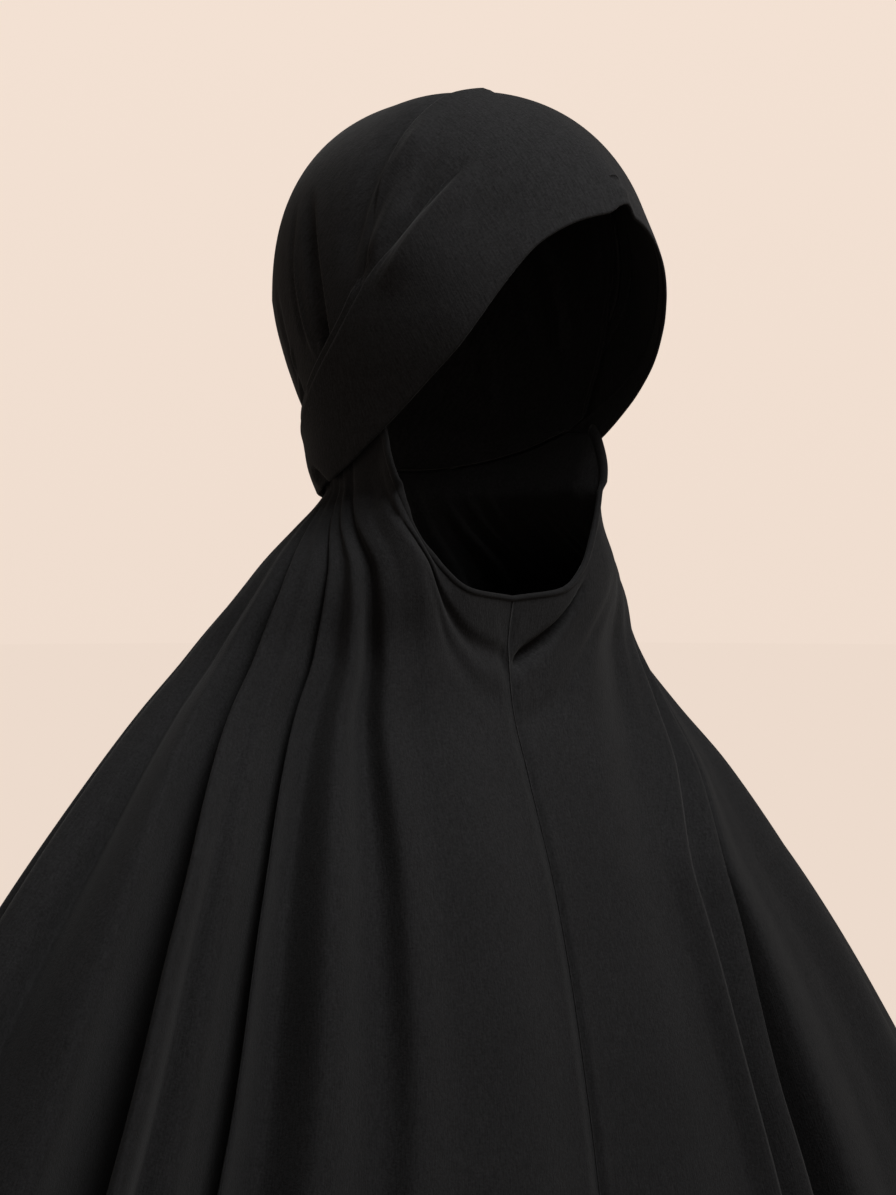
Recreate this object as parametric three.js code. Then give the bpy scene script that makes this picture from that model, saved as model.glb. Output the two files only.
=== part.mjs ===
// A khimar veil as it is worn: a close hood, a brow panel that wraps round the nape as a band, and a wide
// cape that falls from the neck in deep folds. Millimetres, +Z up, the face looks along -Y and the wearer's
// left is +X. The origin is the inside of the crown, where the hood sits on the head.
import * as THREE from "three";

// Cloth
const CLOTH = 1.5; // thickness of the crepe with its turned edges
const GAP = 0.4; // clearance between pieces that lie on each other
const HEM_ROLL = 3.4; // diameter of the rolled edge at the face
const ROLL_GAP = 0.9; // clearance of that roll, whose facets turn a little against the edge

// The hollow that the head fills
const HEAD_HALF_WIDTH = 75;
const HEAD_FRONT = 93.5; // from the middle of the hollow to the brow
const HEAD_BACK = 95; // from the middle of the hollow to the back of the head
const WIDEST_LEVEL = 87; // from the crown down to the widest level
const PINCH_LEVEL = 171; // from the crown down to the narrow place at the nape
const SIDE_ROUNDING = 2.4; // exponent of the side and back profiles above the widest level
const BROW_ROUNDING = 2.0; // the same for the front profile, which slopes back more

// The brow panel
const PANEL_LIFT = 1.5 * CLOTH + GAP; // the middle of the panel's wall over the head's form
const PLEAT_STEP = 1.8; // how far the band stands over the cloth behind its pleat
const PLEAT_TURN = 2.2; // width of the turn from the band down to that cloth
const BAND_SLACK = 1.2; // how much further out the band lies at the nape
const BAND_FLARE = 4.6; // how far its lower edge stands off there, over the gathers of the cape
const BROW_PEAK = 4.5; // height of the small pinched peak over the forehead
const BROW_PEAK_WIDTH = 13;
const BROW_END = 0.2; // where the brow ends on the way round to the nape
const STEP_SPAN = [0.18, 0.38]; // where the pleat's step comes in on that way
const SLACK_SPAN = [0.6, 0.85]; // the same for the band's slack
const FLARE_SPAN = [0.66, 0.84]; // and for its flare

// The crown
const CROWN_LAP = 15; // how far it runs on under the panel
const PRESSED = 1.0; // how far the panel and the band press it in where they lie on it
const CROWN_PLEAT_DEPTH = 4;
const CROWN_FRONT_END = 0.52; // where along the panel its front edge turns to the corner at the ear
const CROWN_CORNER = 0.8; // where that turn starts, from the middle of the head (0) to the ear (1)
const CROWN_LAP_KEPT = 0.5; // share of the lap that is left there
const CROWN_CROWDING = 1.15; // above 1, the crown's columns lie closer at the nape
const CROWN_EAR = { side: 0.92, fore: -0.06, down: 0.8 }; // that corner, in the shares of the panel's tables
const EAR_TURN = 24; // the column of the cape where its back edge ends at the ear
const CROWN_CLEARANCE = 1.6 * GAP; // from its back edge down to the top edge of the cape

// The cape
const NECK_HALF_WIDTH = 57;
const NECK_HALF_DEPTH = 44.5;
const CAPE_LENGTH = 645; // from the pinch down to the front hem
const BACK_DROP = 35; // how much longer the back is
const HEM_HALF_WIDTH = 455;
const HEM_HALF_DEPTH = 132;
const CAPE_SETBACK = 37; // how far behind the head's middle the shoulders are
const BACK_DROP_START = 30; // the column from which it grows longer, in degrees at the shoulder
const EDGE_RELEASE = 40; // the length in which the cloth under the face leaves the line of its top edge
const FOLD_RELEASE = 20; // the length in which the folds open below that edge
const FOLD_DEPTH = 22; // depth of the deepest fold at the shoulder
const FOLD_AT_NECK = 0.15; // share of a fold's collar depth that it has at the neck
const COWL_DEPTH = 6; // depth of the soft folds under the chin
const COWL_SPACING = 27; // from one of them to the next
const COWL_REACH = { turn: 10, seamward: 12, backward: 14 }; // where they lie, in degrees at the shoulder
const SEAM_DIP = 2.5; // how far the cloth draws in at the front and back seams
const SEAM_DIP_TURN = 4; // in degrees at the shoulder

// The rolled edge at the face
const BINDING_END = 18.9; // the column of the cape where it ends at the band
const BINDING_SIGHT = 0.006; // share of the cape's fall over which its own slope is taken

const MIDDLE = new THREE.Vector3(0, 0, -WIDEST_LEVEL);
const CREPE = { color: 0x17171a, roughness: 0.86, metalness: 0 };

// Sections of the head hollow below its widest level: drop is the share of the way to the pinch, and the
// others are shares of the head's half width, front and back.
const LOWER_HEAD = [
  { drop: 0.0, width: 1.0, front: 1.0, back: 1.0 },
  { drop: 0.11, width: 0.997, front: 0.995, back: 0.972 },
  { drop: 0.31, width: 0.967, front: 0.952, back: 0.905 },
  { drop: 0.44, width: 0.933, front: 0.898, back: 0.855 },
  { drop: 0.565, width: 0.9, front: 0.845, back: 0.802 },
  { drop: 0.69, width: 0.873, front: 0.802, back: 0.735 },
  { drop: 0.81, width: 0.847, front: 0.77, back: 0.72 },
  { drop: 1.0, width: 0.76, front: 0.684, back: 0.653 },
];

// How full the plan of the brow is: 2 is an ellipse, less is a narrower forehead. Down is the share of the
// way from the crown to the pinch.
const BROW_FULLNESS = [
  { down: 0.0, power: 1.6 },
  { down: 0.29, power: 1.6 },
  { down: 0.45, power: 1.8 },
  { down: 0.64, power: 1.95 },
];

// The edges of the brow panel, from the middle of the brow (round 0) to the middle of the nape (round 1).
// Side, fore and down are shares of the head's half width, its front and the way down to the pinch; they
// aim at the place, and the head's form sets how far out it lies.
const PANEL_LOWER_EDGE = [
  { round: 0.0, side: 0.0, fore: -0.961, down: 0.303 },
  { round: 0.1, side: 0.239, fore: -0.922, down: 0.325 },
  { round: 0.2, side: 0.48, fore: -0.845, down: 0.382 },
  { round: 0.3, side: 0.676, fore: -0.76, down: 0.487 },
  { round: 0.4, side: 0.813, fore: -0.61, down: 0.624 },
  { round: 0.5, side: 0.88, fore: -0.395, down: 0.74 },
  { round: 0.6, side: 0.905, fore: -0.138, down: 0.851 },
  { round: 0.7, side: 0.868, fore: 0.109, down: 0.931 },
  { round: 0.8, side: 0.78, fore: 0.282, down: 0.962 },
  { round: 0.9, side: 0.46, fore: 0.57, down: 0.98 },
  { round: 1.0, side: 0.0, fore: 0.72, down: 0.99 },
];
const PANEL_PLEAT = [
  { round: 0.0, side: 0.0, fore: -0.66, down: 0.08 },
  { round: 0.1, side: 0.29, fore: -0.64, down: 0.1 },
  { round: 0.2, side: 0.55, fore: -0.56, down: 0.16 },
  { round: 0.3, side: 0.754, fore: -0.441, down: 0.237 },
  { round: 0.4, side: 0.92, fore: -0.353, down: 0.34 },
  { round: 0.5, side: 1.03, fore: -0.187, down: 0.471 },
  { round: 0.6, side: 1.044, fore: -0.043, down: 0.579 },
  { round: 0.7, side: 1.019, fore: 0.083, down: 0.655 },
  { round: 0.8, side: 0.947, fore: 0.246, down: 0.734 },
  { round: 0.9, side: 0.66, fore: 0.53, down: 0.842 },
  { round: 1.0, side: 0.0, fore: 0.79, down: 0.877 },
];
const PANEL_BACK_EDGE = [
  { round: 0.0, side: 0.0, fore: -0.14, down: 0.0 },
  { round: 0.1, side: 0.28, fore: -0.145, down: 0.0 },
  { round: 0.2, side: 0.54, fore: -0.155, down: 0.045 },
  { round: 0.3, side: 0.75, fore: -0.157, down: 0.117 },
  { round: 0.4, side: 0.935, fore: -0.152, down: 0.26 },
  { round: 0.5, side: 1.034, fore: -0.122, down: 0.43 },
  { round: 0.6, side: 1.047, fore: -0.022, down: 0.545 },
  { round: 0.7, side: 1.021, fore: 0.105, down: 0.628 },
  { round: 0.8, side: 0.95, fore: 0.27, down: 0.71 },
  { round: 0.9, side: 0.66, fore: 0.545, down: 0.815 },
  { round: 1.0, side: 0.0, fore: 0.8, down: 0.848 },
];

// The top edge of the cape, from the front seam to the back seam. Turn is the column of the cape, in degrees
// round the body at the shoulder. Side, fore and down are the same shares as above, and hug says where the
// edge lies on the head's form. Release is a share of EDGE_RELEASE, short where the band holds the cloth.
const CAPE_TOP = [
  { turn: 0, side: 0.0, fore: -0.273, down: 1.275, hug: 0, release: 1 },
  { turn: 4, side: 0.373, fore: -0.299, down: 1.228, hug: 0, release: 1 },
  { turn: 8, side: 0.587, fore: -0.278, down: 1.17, hug: 0, release: 1 },
  { turn: 12, side: 0.747, fore: -0.235, down: 1.082, hug: 0, release: 1 },
  { turn: 15, side: 0.84, fore: -0.193, down: 0.994, hug: 0, release: 1 },
  { turn: 17.5, side: 0.887, fore: -0.16, down: 0.918, hug: 0.3, release: 0.96 },
  { turn: 19.5, side: 0.89, fore: -0.1, down: 0.85, hug: 1, release: 0.88 },
  { turn: 22, side: 0.893, fore: 0.03, down: 0.848, hug: 1, release: 0.76 },
  { turn: 28, side: 0.885, fore: 0.11, down: 0.862, hug: 1, release: 0.56 },
  { turn: 42, side: 0.845, fore: 0.215, down: 0.885, hug: 1, release: 0.35 },
  { turn: 57, side: 0.785, fore: 0.32, down: 0.905, hug: 1, release: 0.26 },
  { turn: 80, side: 0.653, fore: 0.46, down: 0.925, hug: 1, release: 0.225 },
  { turn: 110, side: 0.453, fore: 0.588, down: 0.936, hug: 1, release: 0.225 },
  { turn: 145, side: 0.213, fore: 0.684, down: 0.942, hug: 1, release: 0.225 },
  { turn: 180, side: 0.0, fore: 0.717, down: 0.945, hug: 1, release: 0.225 },
];

// Sections of the cape: below is the share of its length, width and depth are shares of the growth from the
// neck to the hem, and setback is the share of the cape's setback.
const CAPE_SECTIONS = [
  { below: 0.0, width: 0.0, depth: 0.0, setback: 0.41 },
  { below: 0.012, width: 0.018, depth: 0.015, setback: 0.49 },
  { below: 0.024, width: 0.04, depth: 0.034, setback: 0.56 },
  { below: 0.048, width: 0.088, depth: 0.072, setback: 0.62 },
  { below: 0.064, width: 0.112, depth: 0.094, setback: 0.68 },
  { below: 0.107, width: 0.168, depth: 0.161, setback: 0.93 },
  { below: 0.147, width: 0.237, depth: 0.218, setback: 0.99 },
  { below: 0.188, width: 0.312, depth: 0.28, setback: 0.96 },
  { below: 0.268, width: 0.441, depth: 0.425, setback: 0.935 },
  { below: 0.349, width: 0.552, depth: 0.546, setback: 0.88 },
  { below: 0.474, width: 0.7, depth: 0.69, setback: 0.81 },
  { below: 0.597, width: 0.811, depth: 0.805, setback: 0.77 },
  { below: 0.814, width: 0.937, depth: 0.943, setback: 0.72 },
  { below: 1.0, width: 1.0, depth: 1.0, setback: 0.7 },
];

// Levels at which the fold tables say where a fold runs, as shares of the cape's length.
const COLLAR_BELOW = 0.124;
const SHOULDER_BELOW = 0.268;
const LEVELS = [
  { column: "neck", below: 0.0 },
  { column: "throat", below: 0.054 },
  { column: "collar", below: COLLAR_BELOW },
  { column: "turn", below: SHOULDER_BELOW },
  { column: "chest", below: 0.426 },
  { column: "hem", below: 1.0 },
];

// Where the main folds run: degrees from the front seam at each level. The column named turn is the
// shoulder's, which also names the fold's place in the other tables.
const RIGHT_COURSES = [
  { neck: 0, throat: 0, collar: 0, turn: 0, chest: 0, hem: 0 },
  { neck: 88, throat: 47, collar: 32, turn: 21.6, chest: 20, hem: 19 },
  { neck: 96, throat: 58, collar: 43, turn: 33.5, chest: 32, hem: 30 },
  { neck: 103, throat: 67, collar: 52, turn: 41.8, chest: 38.7, hem: 37 },
  { neck: 114, throat: 85, collar: 70.5, turn: 57.2, chest: 54, hem: 51 },
  { neck: 128, throat: 102, collar: 90, turn: 80, chest: 77, hem: 75 },
  { neck: 139, throat: 118, collar: 108, turn: 101, chest: 99, hem: 98 },
  { neck: 150, throat: 134, collar: 127, turn: 122, chest: 121, hem: 120 },
  { neck: 161, throat: 149, collar: 145, turn: 142, chest: 141.5, hem: 141 },
  { neck: 171, throat: 165, collar: 163, turn: 161.5, chest: 161, hem: 161 },
  { neck: 180, throat: 180, collar: 180, turn: 180, chest: 180, hem: 180 },
];
const LEFT_COURSES = [
  { neck: 0, throat: 0, collar: 0, turn: 0, chest: 0, hem: 0 },
  { neck: 84, throat: 66, collar: 46.5, turn: 24.4, chest: 20.6, hem: 20 },
  { neck: 91, throat: 77, collar: 54, turn: 31.6, chest: 25.6, hem: 25 },
  { neck: 94, throat: 80, collar: 56.5, turn: 34, chest: 31, hem: 31 },
  { neck: 98, throat: 84, collar: 59, turn: 36.5, chest: 36.7, hem: 37 },
  { neck: 112, throat: 99, collar: 75, turn: 58, chest: 56, hem: 54 },
  { neck: 128, throat: 113, collar: 94, turn: 84, chest: 81, hem: 79 },
  { neck: 141, throat: 127, collar: 114, turn: 107, chest: 105, hem: 104 },
  { neck: 155, throat: 146, collar: 137, turn: 131, chest: 130, hem: 130 },
  { neck: 168, throat: 163, collar: 159, turn: 156, chest: 156, hem: 156 },
  { neck: 180, throat: 180, collar: 180, turn: 180, chest: 180, hem: 180 },
];

// The folds: depth in shares of FOLD_DEPTH at three levels, inwards for a valley and negative for a ridge.
// Seamward and backward are how far the fold reaches on each side, in degrees at the shoulder, and lean is
// the share by which its crest leans back over the valley beside it.
const RIGHT_FOLDS = [
  { turn: 10, seamward: 9, backward: 9, collar: -0.1, shoulder: -0.22, hem: -0.45, lean: 0 },
  { turn: 21.6, seamward: 6, backward: 6.5, collar: 0.28, shoulder: 0.35, hem: 0.55, lean: 0 },
  { turn: 28, seamward: 5, backward: 4, collar: -0.05, shoulder: -0.12, hem: -0.4, lean: 0 },
  { turn: 33.5, seamward: 4, backward: 3.4, collar: 0, shoulder: 0.1, hem: 0.75, lean: 0 },
  { turn: 39.4, seamward: 3.6, backward: 1.6, collar: -0.16, shoulder: -0.22, hem: -0.35, lean: 0.2 },
  { turn: 42, seamward: 1.7, backward: 5.5, collar: 0.42, shoulder: 0.62, hem: 0.95, lean: 0.06 },
  { turn: 53.8, seamward: 6, backward: 2.2, collar: -0.24, shoulder: -0.3, hem: -0.42, lean: 0.28 },
  { turn: 57.4, seamward: 2.2, backward: 9, collar: 0.75, shoulder: 1.0, hem: 1.35, lean: 0.08 },
  { turn: 70, seamward: 8, backward: 8, collar: -0.12, shoulder: -0.35, hem: -0.6, lean: 0 },
  { turn: 80, seamward: 5, backward: 6, collar: 0.12, shoulder: 0.22, hem: 0.7, lean: 0 },
  { turn: 91, seamward: 8, backward: 7, collar: -0.1, shoulder: -0.35, hem: -0.75, lean: 0 },
  { turn: 101, seamward: 5, backward: 7, collar: 0.4, shoulder: 0.75, hem: 1.3, lean: 0 },
  { turn: 122, seamward: 6, backward: 8, collar: 0.3, shoulder: 0.6, hem: 1.2, lean: 0 },
  { turn: 142, seamward: 6, backward: 8, collar: 0.35, shoulder: 0.7, hem: 1.3, lean: 0 },
  { turn: 161.5, seamward: 6, backward: 7, collar: 0.25, shoulder: 0.5, hem: 1.0, lean: 0 },
];
const LEFT_FOLDS = [
  { turn: 11, seamward: 10, backward: 9, collar: -0.1, shoulder: -0.2, hem: -0.4, lean: 0 },
  { turn: 22.3, seamward: 3.2, backward: 1.7, collar: 0.2, shoulder: 0.28, hem: 0.4, lean: 0 },
  { turn: 24.6, seamward: 1.8, backward: 2.6, collar: -0.2, shoulder: -0.3, hem: -0.45, lean: -0.16 },
  { turn: 28.4, seamward: 2.4, backward: 2, collar: 0.15, shoulder: 0.3, hem: 0.42, lean: 0 },
  { turn: 31.4, seamward: 2.4, backward: 1.5, collar: -0.2, shoulder: -0.35, hem: -0.55, lean: 0.12 },
  { turn: 34, seamward: 1.7, backward: 1.8, collar: 0.15, shoulder: 0.55, hem: 1.35, lean: 0 },
  { turn: 37, seamward: 1.9, backward: 7, collar: -0.15, shoulder: -0.3, hem: -0.7, lean: -0.12 },
  { turn: 58, seamward: 7, backward: 7, collar: 0.4, shoulder: 0.75, hem: 1.2, lean: 0 },
  { turn: 84, seamward: 7, backward: 7, collar: 0.3, shoulder: 0.55, hem: 1.15, lean: 0 },
  { turn: 107, seamward: 6, backward: 8, collar: 0.4, shoulder: 0.75, hem: 1.35, lean: 0 },
  { turn: 131, seamward: 6, backward: 8, collar: 0.3, shoulder: 0.6, hem: 1.2, lean: 0 },
  { turn: 156, seamward: 7, backward: 7, collar: 0.35, shoulder: 0.65, hem: 1.2, lean: 0 },
];

// Pleats of the crown, which run from the back of the head to the ears: across is the share of the way from
// the front edge to the nape, and depth is a share of CROWN_PLEAT_DEPTH, negative for a ridge. The spans say
// where they come in and go flat on the way from the middle of the head to the ear, and where the panel and
// the band lie on the crown on the way across.
const CROWN_PLEATS = [
  { across: 0.3, ahead: 0.12, behind: 0.04, depth: -0.3 },
  { across: 0.36, ahead: 0.04, behind: 0.12, depth: 1.0 },
  { across: 0.5, ahead: 0.08, behind: 0.1, depth: -0.35 },
  { across: 0.62, ahead: 0.08, behind: 0.08, depth: 0.4 },
  { across: 0.78, ahead: 0.1, behind: 0.1, depth: -0.3 },
];

const PLEATS_START = [0.2, 0.62];
const PLEATS_FLAT = [0.8, 0.97];
const RIDGES_FLAT = [0.55, 0.75];
const PANEL_ABOVE = [0.06, 0.2];
const BAND_ABOVE = [0.8, 0.9];
const CROWN_EDGE_ROWS = [0, 0.08, 0.16, 0.7, 0.86, 0.93, 1];

// Grid sizes
const PANEL_COLUMNS_EACH_SIDE = 28;
const PANEL_ROWS_TO_PLEAT = 5;
const PANEL_ROWS_BEHIND = 2;
const CROWN_COLUMNS = 26;
const CAPE_ROWS = 18;
const CAPE_ROW_CROWDING = 1.75; // above 1, rows lie closer at the top edge
const CAPE_FINEST_TURN = 1.3; // columns keep at least this far apart, in degrees at the shoulder
const CAPE_WIDEST_TURN = 7;
const FOLD_FLANK = 0.6; // share of a fold's reach at which it gets a column on each side
const BINDING_SIDES = 6;

// A smooth curve through one column of a table, which never swings past its rows.
function fromTable(rows, key, column, at) {
  const last = rows.length - 1;
  if (at <= rows[0][key]) return rows[0][column];
  if (at >= rows[last][key]) return rows[last][column];
  let k = 0;
  while (at > rows[k + 1][key]) k += 1;
  const rise = (i) => (rows[i + 1][column] - rows[i][column]) / (rows[i + 1][key] - rows[i][key]);
  const slope = (i) => {
    if (i === 0) return rise(0);
    if (i === last) return rise(last - 1);
    const before = rise(i - 1);
    const after = rise(i);
    return before * after <= 0 ? 0 : (2 * before * after) / (before + after);
  };
  const span = rows[k + 1][key] - rows[k][key];
  const t = (at - rows[k][key]) / span;
  const ease = t * t * (3 - 2 * t);
  const away = t * (1 - t) * (1 - t) * span * slope(k);
  const home = t * t * (1 - t) * span * slope(k + 1);
  return rows[k][column] + (rows[k + 1][column] - rows[k][column]) * ease + away - home;
}

function smoothStep(from, to, at) {
  return THREE.MathUtils.smoothstep(at, from, to);
}

// A rounded bump, 1 at its top and 0 where it ends on each side.
function bump(at, top, before, after) {
  const x = at < top ? (top - at) / before : (at - top) / after;
  return x >= 1 ? 0 : 0.5 + 0.5 * Math.cos(Math.PI * x);
}

// Half width, front and back of the head hollow at a level.
function headSection(down) {
  if (down <= WIDEST_LEVEL) {
    const up = THREE.MathUtils.clamp(1 - down / WIDEST_LEVEL, 0, 1);
    const sides = Math.pow(1 - Math.pow(up, SIDE_ROUNDING), 1 / SIDE_ROUNDING);
    const brow = Math.pow(1 - Math.pow(up, BROW_ROUNDING), 1 / BROW_ROUNDING);
    return { width: HEAD_HALF_WIDTH * sides, front: HEAD_FRONT * brow, back: HEAD_BACK * sides };
  }
  const drop = (down - WIDEST_LEVEL) / (PINCH_LEVEL - WIDEST_LEVEL);
  return {
    width: HEAD_HALF_WIDTH * fromTable(LOWER_HEAD, "drop", "width", drop),
    front: HEAD_FRONT * fromTable(LOWER_HEAD, "drop", "front", drop),
    back: HEAD_BACK * fromTable(LOWER_HEAD, "drop", "back", drop),
  };
}

function insideHead(point) {
  if (point.z >= 0) return false;
  const section = headSection(-point.z);
  const front = point.y < 0;
  const power = front ? fromTable(BROW_FULLNESS, "down", "power", -point.z / PINCH_LEVEL) : 2;
  const across = Math.abs(point.x) / Math.max(section.width, 1e-6);
  const along = Math.abs(point.y) / Math.max(front ? section.front : section.back, 1e-6);
  return Math.pow(across, power) + Math.pow(along, power) < 1;
}

// The place on the head's form in a direction from its middle, raised by lift.
function onHead(direction, lift) {
  let near = 0;
  let far = 2 * (HEAD_BACK + PINCH_LEVEL);
  for (let i = 0; i < 34; i += 1) {
    const half = (near + far) / 2;
    if (insideHead(MIDDLE.clone().addScaledVector(direction, half))) near = half;
    else far = half;
  }
  return MIDDLE.clone().addScaledVector(direction, near + lift);
}

// The direction that a row of shares aims at.
function aim(rows, key, at, side) {
  return new THREE.Vector3(
    side * fromTable(rows, key, "side", at) * HEAD_HALF_WIDTH,
    fromTable(rows, key, "fore", at) * HEAD_FRONT,
    WIDEST_LEVEL - fromTable(rows, key, "down", at) * PINCH_LEVEL,
  ).normalize();
}

// A direction part of the way from one to another, turned at an even rate.
function between(from, to, share) {
  const angle = from.angleTo(to);
  if (angle < 1e-9) return from.clone();
  return from
    .clone()
    .multiplyScalar(Math.sin((1 - share) * angle) / Math.sin(angle))
    .addScaledVector(to, Math.sin(share * angle) / Math.sin(angle));
}

// The same direction turned by a length along the head towards another direction.
function shifted(from, to, length) {
  return between(from, to, length / (HEAD_HALF_WIDTH * Math.max(from.angleTo(to), 1e-6)));
}

// A wall of cloth from a grid of points in its middle, as a closed surface. A closed grid joins its last
// column to its first. Edges that lie in a seam keep their normals in the plane of the seam.
function clothWall(grid, { closed = false, seams = false } = {}) {
  const columns = grid.length;
  const rows = grid[0].length;
  const at = (i, j) => grid[closed ? (i + columns) % columns : THREE.MathUtils.clamp(i, 0, columns - 1)][j];
  const positions = [];
  for (const face of [1, -1]) {
    for (let i = 0; i < columns; i += 1) {
      for (let j = 0; j < rows; j += 1) {
        const along = at(i + 1, j).clone().sub(at(i - 1, j));
        const down = at(i, Math.min(j + 1, rows - 1)).clone().sub(at(i, Math.max(j - 1, 0)));
        const normal = along.cross(down);
        if (seams && (i === 0 || i === columns - 1)) normal.x = 0;
        normal.normalize();
        positions.push(...at(i, j).clone().addScaledVector(normal, (face * CLOTH) / 2).toArray());
      }
    }
  }
  const outer = (i, j) => (i % columns) * rows + j;
  const inner = (i, j) => columns * rows + outer(i, j);
  const index = [];
  const quad = (a, b, c, d) => index.push(a, b, c, a, c, d);
  const strips = closed ? columns : columns - 1;
  for (let i = 0; i < strips; i += 1) {
    for (let j = 0; j < rows - 1; j += 1) {
      quad(outer(i, j), outer(i + 1, j), outer(i + 1, j + 1), outer(i, j + 1));
      quad(inner(i, j), inner(i, j + 1), inner(i + 1, j + 1), inner(i + 1, j));
    }
    quad(inner(i, 0), inner(i + 1, 0), outer(i + 1, 0), outer(i, 0));
    quad(outer(i, rows - 1), outer(i + 1, rows - 1), inner(i + 1, rows - 1), inner(i, rows - 1));
  }
  if (!closed) {
    for (let j = 0; j < rows - 1; j += 1) {
      quad(outer(0, j), outer(0, j + 1), inner(0, j + 1), inner(0, j));
      quad(inner(strips, j), inner(strips, j + 1), outer(strips, j + 1), outer(strips, j));
    }
  }
  return facingOut(positions, index);
}

// The geometry with its faces turned to point out of the wall.
function facingOut(positions, index) {
  const corner = (k) => new THREE.Vector3().fromArray(positions, index[k] * 3);
  let volume = 0;
  for (let k = 0; k < index.length; k += 3) volume += corner(k).dot(corner(k + 1).cross(corner(k + 2)));
  if (volume < 0) index.reverse();
  const geometry = new THREE.BufferGeometry();
  geometry.setAttribute("position", new THREE.Float32BufferAttribute(positions, 3));
  geometry.setIndex(index);
  geometry.computeVertexNormals();
  return geometry;
}

// The brow panel: rows run from its lower edge to the pleat, turn down over the pleat, and go on to the
// folded back edge.
function panelPoint(round, side, share, behind) {
  const pleat = aim(PANEL_PLEAT, "round", round, side);
  const back = aim(PANEL_BACK_EDGE, "round", round, side);
  const step = PLEAT_STEP * smoothStep(...STEP_SPAN, round);
  const lift = PANEL_LIFT + BAND_SLACK * smoothStep(...SLACK_SPAN, round);
  if (behind) return onHead(between(shifted(pleat, back, PLEAT_TURN), back, share), lift);
  const lower = aim(PANEL_LOWER_EDGE, "round", round, side);
  const flare = BAND_FLARE * smoothStep(...FLARE_SPAN, round) * Math.pow(1 - share, 2);
  const point = onHead(between(lower, pleat, share), lift + step + flare);
  const peak = bump(point.x, BROW_PEAK_WIDTH / 2, BROW_PEAK_WIDTH, BROW_PEAK_WIDTH / 2);
  if (round < BROW_END) point.z += BROW_PEAK * peak * Math.pow(1 - share, 2);
  return point;
}

function browWrap() {
  const grid = [];
  for (let i = 0; i < 2 * PANEL_COLUMNS_EACH_SIDE; i += 1) {
    const side = i < PANEL_COLUMNS_EACH_SIDE ? 1 : -1;
    const step = i / PANEL_COLUMNS_EACH_SIDE;
    const round = side > 0 ? step : 2 - step;
    const column = [];
    for (let j = 0; j <= PANEL_ROWS_TO_PLEAT; j += 1)
      column.push(panelPoint(round, side, j / PANEL_ROWS_TO_PLEAT, false));
    for (let j = 0; j <= PANEL_ROWS_BEHIND; j += 1)
      column.push(panelPoint(round, side, j / PANEL_ROWS_BEHIND, true));
    grid.push(column);
  }
  return clothWall(grid, { closed: true });
}

// The crown: from its front edge, hidden under the panel, over the head to the nape, where it meets the cape
// under the band. Round is 0 over the middle of the head and 1 at the ear.
function crownFront(round, side) {
  const along = CROWN_FRONT_END * Math.min(round / CROWN_CORNER, 1);
  const back = aim(PANEL_BACK_EDGE, "round", along, side);
  const pleat = aim(PANEL_PLEAT, "round", along, side);
  const kept = THREE.MathUtils.lerp(1, CROWN_LAP_KEPT, smoothStep(CROWN_CORNER / 2, CROWN_CORNER, round));
  const front = shifted(back, pleat, CROWN_LAP * kept);
  const ear = aim([CROWN_EAR, CROWN_EAR], "side", 0, side);
  return between(front, ear, smoothStep(CROWN_CORNER, 1, round));
}

function crownBack(round, side) {
  const turn = THREE.MathUtils.lerp(180, EAR_TURN, Math.pow(round, CROWN_CROWDING));
  const edge = aim(CAPE_TOP, "turn", turn, side);
  return shifted(edge, new THREE.Vector3(0, 0, 1), CROWN_CLEARANCE);
}

function crownPoint(round, side, across) {
  const direction = between(crownFront(round, side), crownBack(round, side), across);
  let pleats = 0;
  for (const pleat of CROWN_PLEATS) {
    const shape = bump(across, pleat.across, pleat.ahead, pleat.behind);
    const ends = pleat.depth > 0 ? PLEATS_FLAT : RIDGES_FLAT;
    pleats += pleat.depth * shape * smoothStep(...PLEATS_START, round) * (1 - smoothStep(...ends, round));
  }
  const pressed = PRESSED * (1 - smoothStep(...PANEL_ABOVE, across) + smoothStep(...BAND_ABOVE, across));
  const free = bump(across, 0.5, 0.5, 0.5);
  return onHead(direction, CLOTH / 2 - pressed - CROWN_PLEAT_DEPTH * pleats * free);
}

function crownRows() {
  const rows = new Set(CROWN_EDGE_ROWS);
  for (const pleat of CROWN_PLEATS) rows.add(pleat.across).add(pleat.across + pleat.behind / 2);
  return [...rows].sort((a, b) => a - b);
}

function crownHood() {
  const grid = [];
  const rows = crownRows();
  for (let i = 0; i <= CROWN_COLUMNS; i += 1) {
    const along = (2 * i) / CROWN_COLUMNS - 1;
    grid.push(rows.map((across) => crownPoint(Math.abs(along), Math.sign(along) || 1, across)));
  }
  return clothWall(grid);
}

// The cape
function hemLevel(turn) {
  return PINCH_LEVEL + CAPE_LENGTH + BACK_DROP * smoothStep(BACK_DROP_START, 180, turn);
}

function capeSection(down, degrees) {
  const below = (down - PINCH_LEVEL) / CAPE_LENGTH;
  const part = (column) => fromTable(CAPE_SECTIONS, "below", column, below);
  const angle = THREE.MathUtils.degToRad(degrees);
  const width = NECK_HALF_WIDTH + (HEM_HALF_WIDTH - NECK_HALF_WIDTH) * part("width");
  const depth = NECK_HALF_DEPTH + (HEM_HALF_DEPTH - NECK_HALF_DEPTH) * part("depth");
  const setback = CAPE_SETBACK * part("setback");
  return {
    place: new THREE.Vector2(width * Math.sin(angle), setback - depth * Math.cos(angle)),
    outward: new THREE.Vector2(depth * Math.sin(angle), -width * Math.cos(angle)).normalize(),
  };
}

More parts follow.
